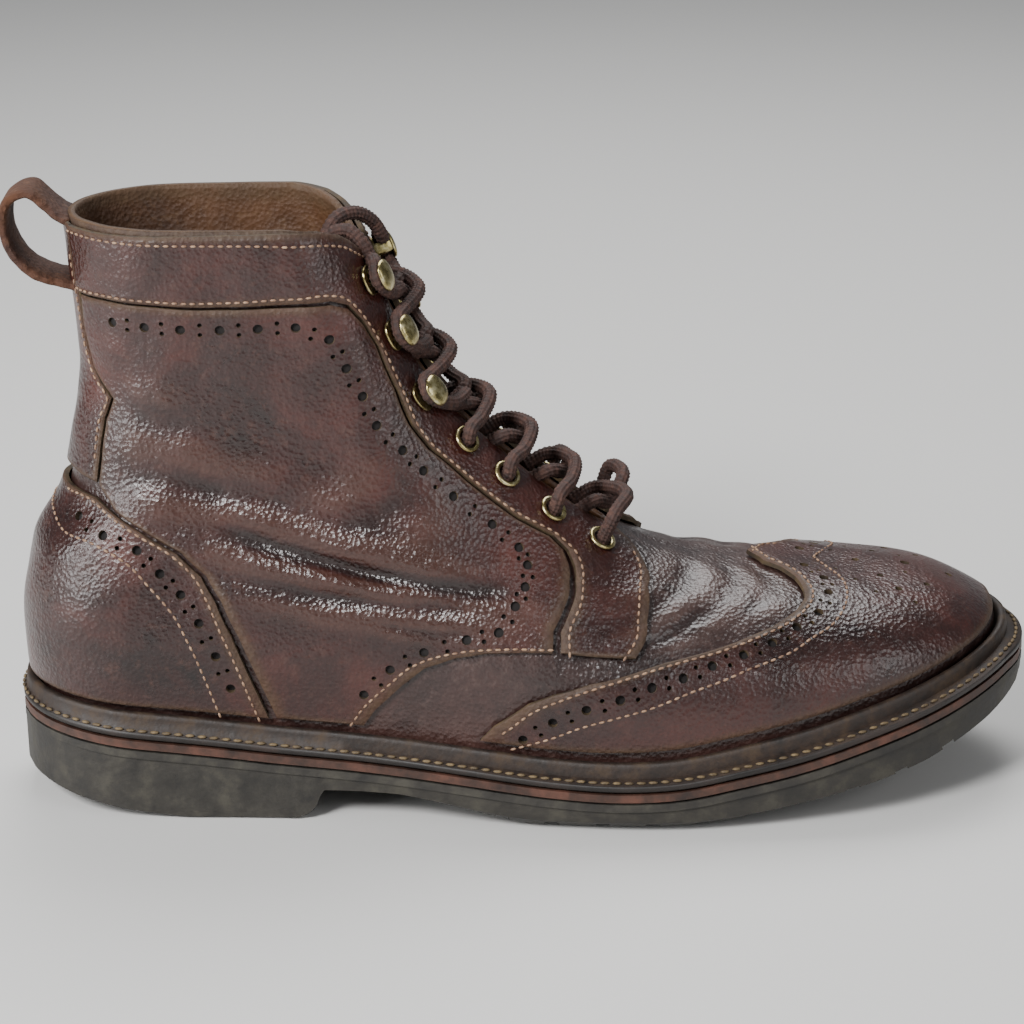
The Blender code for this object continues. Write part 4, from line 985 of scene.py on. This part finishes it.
WING_SEAM = ((0.497, 0.012), (0.527, 0.037), (0.558, 0.064), (0.588, 0.080), (0.618, 0.090),
             (0.649, 0.100), (0.675, 0.106), (0.697, 0.112), (0.719, 0.114), (0.743, 0.117),
             (0.769, 0.127), (0.800, 0.136), (0.839, 0.154), (0.885, 0.178), (0.925, 0.200),
             (0.965, 0.224), (1.0, 0.240))
COUNTER_SEAM = ((0.0, 0.388), (0.061, 0.376), (0.124, 0.354), (0.185, 0.353), (0.237, 0.328),
                (0.267, 0.277), (0.287, 0.221), (0.293, 0.167), (0.295, 0.096), (0.295, 0.015))
COLLAR_TOP = ((0.130, 1.0), (0.40, 1.0), (0.70, 1.0), (0.80, 0.995), (0.853, 0.987), (0.90, 0.973),
              (0.935, 0.962))
raised = LIFT - BASE_DEPTH + RAISED
low = LIFT - BASE_DEPTH + OVERLAY
chains = []
for line in both([WING_SEAM, beside(WING[1:], -2.0), COUNTER_SEAM, beside(COUNTER[:-1], 2.0),
                  beside(COLLAR_SEAM, 1.8), [(u, v - 0.020) for u, v in COLLAR_TOP], beside(TAB_FRONT[:-2], 2.0)]):
    chains.append(seam([p for p in line if p[1] > 0.008], raised + 0.0001))
for line in both([beside(QUARTER_FOOT, -2.0), beside(BACKSTAY[1:8], 2.2)]):
    chains.append(seam([p for p in line if p[1] > 0.008], low + 0.0001))
run_tree("leather_stitches", SEAM_TREE, chains, THREAD, "oxblood_leather",
         {"Pitch": 0.0026, "Length": 0.00100, "Width": 0.00042, "Height": 0.00034})

# %% [markdown]
# Looking into a punched hole, you see shadow rather than leather, so a dark disc of painted shadow lies at its foot.

# %% Painted shadow in the holes
verts, faces = [], []
for u, v, radius in all_holes:
    ring = np.array(hole_ring(u, v, radius * 1.12, 8))
    start = len(verts)
    verts += list(place(ring[:, 0], ring[:, 1], LIFT - BASE_DEPTH + 0.00015))
    verts += list(place(ring[:, 0], ring[:, 1], LIFT - BASE_DEPTH + 0.00005))
    count = len(ring)
    faces.append(tuple(start + k for k in range(count)))
    faces.append(tuple(start + count + k for k in reversed(range(count))))
    faces += [(start + k, start + count + k, start + count + (k + 1) % count, start + (k + 1) % count)
              for k in range(count)]
stands_for(new_piece("hole_shadow", verts, faces, [HOLE_SHADOW]), "oxblood_leather")

# %% [markdown]
# ## The sole
# Its layers repeat the solid's sections with finer steps. The tread's grooves are cut with a Boolean.

# %% Sole sizes
TREAD = np.array([         # along, height of the tread / HEEL_SEAT, further rise at the edge / HEEL_SEAT
    (-0.030, 0.300, 0.06), (0.000, 0.225, 0.06), (0.047, 0.130, 0.05), (0.100, 0.055, 0.04),
    (0.140, 0.015, 0.03), (0.166, 0.000, 0.02), (0.276, 0.000, 0.02), (0.288, 0.045, 0.02),
    (0.296, 0.130, 0.02), (0.300, 0.235, 0.02), (0.304, 0.285, 0.02), (0.342, 0.285, 0.02),
    (0.379, 0.262, 0.03), (0.405, 0.205, 0.05), (0.455, 0.100, 0.08), (0.490, 0.025, 0.10),
    (0.512, 0.000, 0.11), (0.650, 0.000, 0.11), (0.680, 0.016, 0.11), (0.704, 0.050, 0.10),
    (0.740, 0.105, 0.09), (0.797, 0.205, 0.08), (0.860, 0.330, 0.07), (0.910, 0.455, 0.06),
    (0.977, 0.680, 0.05), (1.030, 0.900, 0.04)])
EDGE_ROUND = 0.18          # part of the sole's half width over which the tread rises to its edge
STATIONS = (0.006, 0.020, 0.042, 0.066, 0.100, 0.135, 0.166, 0.200, 0.240, 0.276, 0.288, 0.296, 0.300,
            0.304, 0.342, 0.379, 0.405, 0.455, 0.490, 0.512, 0.546, 0.600, 0.650, 0.680, 0.704, 0.740,
            0.797, 0.830, 0.860, 0.890, 0.915, 0.940, 0.960, 0.976, 0.990, 0.998)

SOLE_STEPS = 130


def perimeter(shares, distance):
    """Points of the feather line set out sideways by a distance, over the given shares round."""
    shares = np.asarray(shares, float)
    turn = 0.012
    run = form(shares + turn, 0.0) - form(shares - turn, 0.0)
    out = unit(np.stack([run[:, 1], -run[:, 0], np.zeros(len(shares))], -1))
    return form(shares, 0.0) + out * np.asarray(distance).reshape(-1, 1) - [HEEL_TREAD_X, 0, 0]


def ledge(x):
    return spline(LEDGE[:, 0], LEDGE[:, 1], np.clip(x / LAST_LENGTH, 0, 1)) * HALF_BALL


def station_shares():
    """Shares round the boot of the sole's cross sections, fine between the named stations."""
    along = np.union1d(np.array(STATIONS), np.linspace(STATIONS[0], STATIONS[-1], SOLE_STEPS)) * LAST_LENGTH
    part = (along - BACK_X[0]) / (LAST_LENGTH - BACK_X[0])
    return np.arccos(1 - 2 * np.clip(part, 0.001, 0.9995)) / math.pi


def sole_sections(distance):
    """Outer and inner edge points of each cross section, on the feather line's height."""
    shares = station_shares()
    base = form(shares, 0.0)
    outer = perimeter(shares, distance(base[:, 0]))
    inner = perimeter(-shares, distance(base[:, 0]))
    outer[:, 2] = feather_z(outer[:, 0] + HEEL_TREAD_X)
    inner[:, 2] = feather_z(inner[:, 0] + HEEL_TREAD_X)
    return outer, inner


def loft(name, sections, mats, sharp=35):
    """A closed solid through rings of points, all with the same count."""
    count = len(sections[0])
    verts = [p for ring in sections for p in ring]
    faces = [tuple(reversed(range(count)))]
    for k in range(len(sections) - 1):
        a, b = k * count, (k + 1) * count
        faces += [(a + i, a + (i + 1) % count, b + (i + 1) % count, b + i) for i in range(count)]
    faces.append(tuple(range(len(verts) - count, len(verts))))
    return new_piece(name, verts, faces, mats, None, None, sharp)


def slab(name, distance, top, bottom, mat):
    """A flat layer of the sole, following the feather line's rise."""
    sections = []
    for outer, inner in zip(*sole_sections(distance)):
        sections.append([(*inner[:2], inner[2] - top), (*outer[:2], outer[2] - top),
                         (*outer[:2], outer[2] - bottom), (*inner[:2], inner[2] - bottom)])
    return loft(name, sections, mat)


def tread(x, column):
    return np.interp((x + HEEL_TREAD_X) / LAST_LENGTH, TREAD[:, 0], TREAD[:, column]) * HEEL_SEAT


def outsole(mat):
    top = UNDER_UPPER + MIDSOLE_THICK + 2 * LAYER_GAP
    sections = []
    for outer, inner in zip(*sole_sections(ledge)):
        half = np.linalg.norm(outer - inner) / 2
        across = (inner - outer) / (2 * half)
        high = (outer[2] + inner[2]) / 2 - top
        middle_x = (outer[0] + inner[0]) / 2
        low = float(tread(middle_x, 1))
        edge = low + float(tread(middle_x, 2))
        rim = SHOULDER_STEP + WALL_TAPER
        ring = []

        def add(share, inset, z):
            side = outer if share < 0 else inner
            point = side - across * share * inset
            ring.append((point[0], point[1], z))

        add(1, 0.0, high)
        add(-1, 0.0, high)
        add(-1, 0.0, high - SHOULDER)
        add(-1, SHOULDER_STEP, high - SHOULDER - SHOULDER_STEP / 2)
        add(-1, rim, edge)
        add(-1, rim + half * EDGE_ROUND * 0.35, low + (edge - low) * 0.35)
        add(-1, rim + half * EDGE_ROUND, low)
        add(1, rim + half * EDGE_ROUND, low)
        add(1, rim + half * EDGE_ROUND * 0.35, low + (edge - low) * 0.35)
        add(1, rim, edge)
        add(1, SHOULDER_STEP, high - SHOULDER - SHOULDER_STEP / 2)
        add(1, 0.0, high - SHOULDER)
        sections.append(ring)
    return loft("outsole", sections, mat)


def groove(x, y, length):
    """One tread groove's cutter, square to the tread's slope there."""
    run = 0.004
    slope = math.atan2(float(tread(x + run, 1) - tread(x - run, 1)), 2 * run)
    height = 4 * LUG_DEPTH
    matrix = (Matrix.Translation((x, y, float(tread(x, 1)))) @ Matrix.Rotation(-slope, 4, "Y")
              @ Matrix.Translation((0, 0, LUG_DEPTH - height / 2))
              @ Matrix.Diagonal((LUG_GROOVE, length, height, 1)))
    return matrix


# %% Rubber, midsole and insole
import bmesh

CUTTERS = bpy.data.collections.new("cutters")
bpy.context.scene.collection.children.link(CUTTERS)


def cut_tread(sole):
    outer, inner = sole_sections(ledge)
    cuts = []
    for k in range(GROOVE_COUNT):
        x = FIRST_GROOVE_X - HEEL_TREAD_X + k * LUG_PITCH
        for line, sign in ((outer, -1), (inner, 1)):
            edge = float(np.interp(x, line[:, 0], line[:, 1]))
            reach = LUG_REACH + 0.010
            cuts.append(groove(x, edge + sign * (reach / 2 - LUG_REACH), reach))
        if k < GROOVE_COUNT - 1:
            between = x + LUG_PITCH / 2
            cuts.append(groove(between, float(centre_y(between + HEEL_TREAD_X)), CENTRE_GROOVE))
    for x in HEEL_GROOVES_X:
        cuts.append(groove(x - HEEL_TREAD_X, 0.0, CENTRE_GROOVE))
    bm = bmesh.new()
    for matrix in cuts:
        bmesh.ops.create_cube(bm, size=1.0, matrix=matrix)
    mesh = bpy.data.meshes.new("tread_cutter")
    bm.to_mesh(mesh)
    bm.free()
    cutter = bpy.data.objects.new("tread_cutter", mesh)
    CUTTERS.objects.link(cutter)
    cutter.hide_render = True
    cutter.display_type = "WIRE"
    mod = sole.modifiers.new("Grooves", "BOOLEAN")
    mod.operation = "DIFFERENCE"
    mod.object = cutter
    mod.solver = "EXACT"


def settle(obj):
    """Applies what modifiers the piece has."""
    graph = bpy.context.evaluated_depsgraph_get()
    mesh = bpy.data.meshes.new_from_object(obj.evaluated_get(graph), depsgraph=graph)
    obj.modifiers.clear()
    obj.data = mesh


rubber = outsole([SOLE_RUBBER])
cut_tread(rubber)
settle(rubber)
for left in list(CUTTERS.objects):
    bpy.data.objects.remove(left)
rubber.name = "rubber_sole"
stands_for(rubber, "sole_rubber", "outsole")
piece = slab("midsole_leather", ledge, UNDER_UPPER + LAYER_GAP, UNDER_UPPER + LAYER_GAP + MIDSOLE_THICK,
             [MIDSOLE_EDGE])
stands_for(piece, "midsole_leather", "midsole")
piece = slab("insole_leather", lambda x: np.full(len(x), -(BASE_DEPTH + WALL + INSOLE_PLAY)), INSOLE_TOP,
             UNDER_UPPER, [INSOLE])
stands_for(piece, "insole_leather", "insole")

# %% [markdown]
# The storm welt has a rolled bead against the upper, a flat sewn ledge, and a burnished edge.

# %% The welt
WELT_STEPS = 300
BEAD_STEPS = 7
shares = np.linspace(0, 2, WELT_STEPS, endpoint=False)
reach = ledge(form(shares, 0.0)[:, 0])
welt_inner = LAYER_GAP + GAP - BASE_DEPTH
bottom = -(WELT_DROP + WELT_THICK)
bead_middle = (welt_inner + BEAD_WIDTH) / 2
bead_half = (BEAD_WIDTH - welt_inner) / 2
profile = [(welt_inner, 0.0, bottom, 1), (-0.0004, 1.0, bottom, 1), (0.0, 1.0, bottom + 0.0004, 1),
           (0.0, 1.0, -WELT_DROP - 0.0004, 1), (-0.0004, 1.0, -WELT_DROP, 0),
           (BEAD_WIDTH + 0.0004, 0.0, -WELT_DROP + 0.0010, 0)]
for k in range(BEAD_STEPS):
    angle = math.pi * k / (BEAD_STEPS - 1)
    profile.append((bead_middle + bead_half * math.cos(angle), 0.0,
                    -BEAD_HEIGHT + 2 * BEAD_HEIGHT * math.sin(angle) ** 0.7, 0))
rings = []
for fixed, share, z, _ in profile:
    points = perimeter(shares, fixed + reach * share)
    points[:, 2] = feather_z(points[:, 0] + HEEL_TREAD_X) + z
    rings.append(points)
count = len(profile)
verts = [tuple(rings[i][k]) for k in range(WELT_STEPS) for i in range(count)]
faces, slots = [], []
for k in range(WELT_STEPS):
    a, b = k * count, (k + 1) % WELT_STEPS * count
    for i in range(count):
        faces.append((a + i, b + i, b + (i + 1) % count, a + (i + 1) % count))
        slots.append(profile[i][3])
stands_for(new_piece("storm_welt", verts, faces, [WELT_TOP, WELT_EDGE], slots, None, 50), "welt_leather", "welt")
shares = np.linspace(0.0, 2.0, 900)
reach = ledge(form(shares, 0.0)[:, 0])
row = perimeter(shares, BEAD_WIDTH + 0.0004 + (reach - BEAD_WIDTH) * 0.55)
row[:, 2] = feather_z(row[:, 0] + HEEL_TREAD_X) - WELT_DROP + 0.00065
run_tree("welt_stitches", SEAM_TREE, [(row, np.tile([0.0, 0.0, 1.0], (len(row), 1)))], WELT_THREAD,
         "welt_leather", {"Pitch": 0.0036, "Length": 0.00150, "Width": 0.00058, "Height": 0.00050})

# %% [markdown]
# ## Tongue, loop, brass and laces

# %% Tongue and pull loop
TONGUE_HALF = 0.15         # half width of the tongue, round
TONGUE_SPAN = (0.425, 0.950)
EYELETS = ((0.841, 0.681), (0.843, 0.616), (0.855, 0.549), (0.863, 0.481))
HOOKS = ((0.897, 0.920), (0.884, 0.848), (0.856, 0.764))
# The pull loop's centre line: out from the heel seam, height under the collar, both / SHAFT
LOOP = ((0.000, 0.016), (0.010, -0.016), (0.044, -0.043), (0.086, -0.024), (0.099, 0.026),
        (0.087, 0.082), (0.055, 0.119), (0.022, 0.134), (0.004, 0.156), (0.000, 0.182))

TONGUE_ROWS, TONGUE_COLUMNS = 90, 40
vs = np.linspace(TONGUE_SPAN[0], TONGUE_SPAN[1], TONGUE_ROWS)
us = np.linspace(1 - TONGUE_HALF, 1 + TONGUE_HALF, TONGUE_COLUMNS)
grid_u, grid_v = np.meshgrid(us, vs)
points = place(grid_u, grid_v, -(BASE_DEPTH + WALL + TONGUE_PLAY), creased=False).reshape(-1, 3)
faces = [(r * TONGUE_COLUMNS + k, r * TONGUE_COLUMNS + k + 1, (r + 1) * TONGUE_COLUMNS + k + 1,
          (r + 1) * TONGUE_COLUMNS + k) for r in range(TONGUE_ROWS - 1) for k in range(TONGUE_COLUMNS - 1)]
tongue = new_piece("tongue_leather", points, faces, [TONGUE_LEATHER])
give_wall(tongue, TONGUE_THICK, -1.0)
stands_for(tongue, "oxblood_leather", "tongue")


def smooth_path(points, count):
    """Evenly spaced points of a smooth curve through the given ones."""
    points = np.asarray(points, float)
    run = np.concatenate([[0], np.cumsum(np.linalg.norm(np.diff(points, axis=0), axis=1))])
    at = np.linspace(0, run[-1], count)
    return np.stack([spline(run, points[:, k], at) for k in range(3)], -1)


LOOP_CORNERS = 12
top = HEEL_SEAT + SHAFT
# The two ends go on into the seam, where they're sewn down
SEWN = ((-0.034, 0.016), (-0.014, 0.005), *LOOP[1:-2], (-0.006, 0.141), (-0.034, 0.148))
path = [(-(TRIM_TOP + GAP + LOOP_THICK / 2) - out * SHAFT, top - down * SHAFT) for out, down in SEWN]
line = smooth_path([(back_x(min(z, top)) - HEEL_TREAD_X + x, 0.0, z) for x, z in path], 110)
tangent = unit(np.gradient(line, axis=0))
side = np.array([0.0, 1.0, 0.0])
across = np.cross(tangent, side)
sections = []
for number, (point, out) in enumerate(zip(line, across)):
    wobble = 1 + 0.03 * math.sin(number * 0.31) + 0.02 * math.sin(number * 0.83)
    ring = []
    for k in range(LOOP_CORNERS):
        angle = 2 * math.pi * (k + 0.5) / LOOP_CORNERS
        y = math.copysign(abs(math.cos(angle)) ** 0.35, math.cos(angle)) * LOOP_WIDTH / 2 * wobble
        z = math.copysign(abs(math.sin(angle)) ** 0.6, math.sin(angle)) * LOOP_THICK / 2
        ring.append(tuple(point + side * y + out * z))
    sections.append(ring)
stands_for(loft("pull_loop_strap", sections, [SUEDE], 60), "strap_leather", "pull_loop")

# %% [markdown]
# Eyelets are turned brass rings. Speed hooks are stamped strips, folded on the side of the centre
# line, with a broad rounded head that the lace slips under.

# %% Brass
def surface_frame(u, v, offset):
    """A matrix on the surface: Z outward, Y up the facing, X forward."""
    out = Vector(normal(np.array(u), np.array(v)))
    rise = Vector(form(u, v + 0.01) - form(u, v - 0.01))
    rise = (rise - out * rise.dot(out)).normalized()
    forward = rise.cross(out).normalized()
    where = Vector(place(u, v, offset, creased=False))
    return Matrix.Translation(where) @ Matrix((forward, rise, out)).transposed().to_4x4()


def eyelet(name, matrix):
    sides, rolls = 40, 10
    middle = (EYELET_HOLE_R + EYELET_R) / 2
    half = (EYELET_R - EYELET_HOLE_R) / 2
    verts, faces = [], []
    for s in range(sides):
        a = 2 * math.pi * s / sides
        for r in range(rolls):
            b = 2 * math.pi * r / rolls
            radius = middle + half * math.cos(b)
            height = EYELET_HEIGHT / 2 * (1 + math.sin(b))
            verts.append(matrix @ Vector((radius * math.cos(a), radius * math.sin(a), height)))
    for s in range(sides):
        for r in range(rolls):
            one, two = s * rolls, (s + 1) % sides * rolls
            faces.append((one + r, two + r, two + (r + 1) % rolls, one + (r + 1) % rolls))
    return new_piece(name, verts, faces, [AGED_BRASS], None, None, 80)


HEAD_LONG, HEAD_WIDE = 0.0047, 0.0042     # half sizes of the head, up and across
HEAD_CORNER = 2.6                          # how square the head's outline is
HEAD_DOME = 0.0011
DISC_SIDES, DISC_RINGS = 32, 7


def disc(matrix, middle, long_half, wide_half, thick, dome, start):
    """A domed plate: rings from the middle out, over a rounded rim to the flat underside."""
    verts, faces = [], []
    shells = [(k / DISC_RINGS, thick + dome * (1 - (k / DISC_RINGS) ** 2)) for k in range(1, DISC_RINGS)]
    shells += [(0.97, thick * 0.95), (1.0, thick * 0.55), (0.97, 0.1 * thick), (0.90, 0.0), (0.4, 0.0)]
    for share, z in shells:
        for s in range(DISC_SIDES):
            a = 2 * math.pi * s / DISC_SIDES
            r = (abs(math.cos(a)) ** HEAD_CORNER + abs(math.sin(a)) ** HEAD_CORNER) ** (-1 / HEAD_CORNER)
            verts.append(matrix @ Vector((middle + wide_half * share * r * math.cos(a),
                                          long_half * share * r * math.sin(a), z + start)))
    for k in range(len(shells) - 1):
        one, two = k * DISC_SIDES, (k + 1) * DISC_SIDES
        faces += [(one + s, two + s, two + (s + 1) % DISC_SIDES, one + (s + 1) % DISC_SIDES)
                  for s in range(DISC_SIDES)]
    faces.append(tuple(range(DISC_SIDES)))
    faces.append(tuple(reversed(range((len(shells) - 1) * DISC_SIDES, len(shells) * DISC_SIDES))))
    return verts, faces


def hook(name, matrix, toward):
    """Base plate, a folded neck on the centre line's side, and the domed head over the lace."""
    neck_x = toward * (HOOK_REACH - 0.0009)
    parts = [disc(matrix, -toward * 0.0006, 0.0046, HOOK_REACH - 0.0004, HOOK_PLATE * 0.8, 0.0001, 0.0),
             disc(matrix, neck_x - toward * 0.0006, 0.0021, 0.0008, HOOK_HEIGHT - HOOK_PLATE, 0.0,
                  HOOK_PLATE * 0.5),
             disc(matrix, -toward * 0.0002, HEAD_LONG, HEAD_WIDE, HOOK_PLATE * 0.8, HEAD_DOME,
                  HOOK_HEIGHT - HOOK_PLATE)]
    verts, faces = [], []
    for some, joined in parts:
        faces += [tuple(len(verts) + k for k in face) for face in joined]
        verts += some
    return new_piece(name, verts, faces, [AGED_BRASS], None, None, 45)


for number, (u, v) in enumerate(EYELETS, 1):
    for sign, side_name in ((1, "lateral"), (-1, "medial")):
        made = eyelet(f"brass_eyelet_{side_name}_{number}", surface_frame(sign * u, v, TRIM_TOP + 2 * GAP))
        stands_for(made, "aged_brass", f"eyelet_{side_name}_{number}")
for number, (u, v) in enumerate(HOOKS, 1):
    for sign, side_name in ((1, "lateral"), (-1, "medial")):
        made = hook(f"brass_hook_{side_name}_{number}", surface_frame(sign * u, v, TRIM_TOP + GAP), sign)
        stands_for(made, "aged_brass", f"hook_{side_name}_{number}")

# %% [markdown]
# A boot lace is a round braid. Its bumps are real relief on the tube, two picks to a diamond, so it
# catches the light without any picture. The strands follow the same turns as the solids do.

# %% Laces
BRAID_SIDES = 40
BRAID_PICK = 0.0014        # length of one diamond
BRAID_DEPTH = 0.00030
BRAID_STRANDS = 10


def braid(points, radius):
    """Vertices and faces of a braided tube along points."""
    points = np.asarray(points)
    length = np.linalg.norm(np.diff(points, axis=0), axis=1).sum()
    line = smooth_path(points, max(8, int(length / 0.00035)))
    tangent = unit(np.gradient(line, axis=0))
    side = np.cross(tangent[0], [0.0, 1.0, 0.31])
    verts, faces = [], []
    run = 0.0
    for k, (point, t) in enumerate(zip(line, tangent)):
        side = unit(side - t * (side @ t))
        other = np.cross(t, side)
        run += np.linalg.norm(line[k] - line[k - 1]) if k else 0.0
        ends = min(1.0, 0.55 + 0.45 * min(k, len(line) - 1 - k) / 3)
        for s in range(BRAID_SIDES):
            a = 2 * math.pi * s / BRAID_SIDES
            bump = math.cos(BRAID_STRANDS * a) + math.cos(2 * math.pi * run / BRAID_PICK)
            r = (radius - BRAID_DEPTH + BRAID_DEPTH * bump / 2) * ends
            verts.append(point + side * r * math.cos(a) + other * r * math.sin(a))
    rings = len(line)
    faces.append(tuple(reversed(range(BRAID_SIDES))))
    for k in range(rings - 1):
        a, b = k * BRAID_SIDES, (k + 1) * BRAID_SIDES
        faces += [(a + i, a + (i + 1) % BRAID_SIDES, b + (i + 1) % BRAID_SIDES, b + i)
                  for i in range(BRAID_SIDES)]
    faces.append(tuple(range((rings - 1) * BRAID_SIDES, rings * BRAID_SIDES)))
    return verts, faces


# %% [markdown]
# From an eyelet, a strand comes up out of the hole, arches over the facing's edge, crosses the centre
# line and tucks in on the far side. At a hook it comes from the centre line, passes under the head,
# round the neck and back. The top pair climbs over the collar and hangs inside the boot.

# %% Strands
over = TRIM_TOP + GAP + LACE_D / 2
ride = over + GAP
ARCHES = (0.0016, 0.0024, 0.0036, 0.0085)   # how high each eyelet's strand stands, top row first
TUCK = 0.0030
TOP_LATERAL = ((0.0405, -0.0135, 0.1688), (0.0378, -0.0125, 0.1738), (0.0340, -0.0110, 0.1766),
               (0.0298, -0.0095, 0.1756), (0.0268, -0.0085, 0.1690), (0.0255, -0.0078, 0.1580))
TOP_MEDIAL = ((0.0435, 0.0115, 0.1688), (0.0405, 0.0075, 0.1750), (0.0355, 0.0030, 0.1786),
              (0.0305, -0.0008, 0.1780), (0.0270, -0.0030, 0.1725), (0.0255, -0.0038, 0.1600))


def strand(name, points, node):
    made = new_piece(name, *braid(points, LACE_D / 2), [CORD], None, None, 180)
    stands_for(made, "lace_cord", node)


for k, (u, v) in enumerate([*HOOKS, *EYELETS]):
    rise = LACE_RISE if k else LACE_RISE_TOP
    slit = float(np.interp(v + rise, SLIT[:, 0], SLIT[:, 1]))
    for sign, side_name in ((1, "lateral"), (-1, "medial")):
        layer = ride + (LACE_D + 2 * GAP if sign > 0 else 0.0)
        crossing = [(slit, v + rise * 0.55, ride + 0.0006), (1.0, v + rise, layer),
                    (2 - slit - 0.006, v + rise * 1.6, ride), (2 - slit + 0.006, v + rise * 1.95, -TUCK)]
        if k < len(HOOKS):
            under = TRIM_TOP + GAP + HOOK_PLATE + LACE_D / 2
            turns = [(1.0, v - 0.030, -TUCK), (0.985, v - 0.030, ride), (u + 0.030, v - 0.026, ride + 0.0004),
                     (u + 0.008, v - 0.020, under), (u - 0.012, v, under), (u + 0.008, v + 0.018, under)]
            turns += [] if k == 0 else [(u + 0.034, v + 0.020, ride + 0.0006)] + crossing[1:]
        else:
            arch = ARCHES[k - len(HOOKS)]
            turns = [(u + 0.001, v - 0.002, TRIM_TOP - 0.0012), (u + 0.002, v, TRIM_TOP + 0.0014),
                     (u + 0.008, v + rise * 0.30, over + arch), (slit - 0.012, v + rise * 0.62, over + arch)]
            turns += crossing[1:]
        points = [place(sign * a, b, c, creased=False) for a, b, c in turns]
        if k == 0:
            points += [np.array(p) for p in (TOP_LATERAL if sign > 0 else TOP_MEDIAL)]
        strand(f"braided_lace_{side_name}_{k + 1}", points, f"lace_{side_name}_{k + 1}")
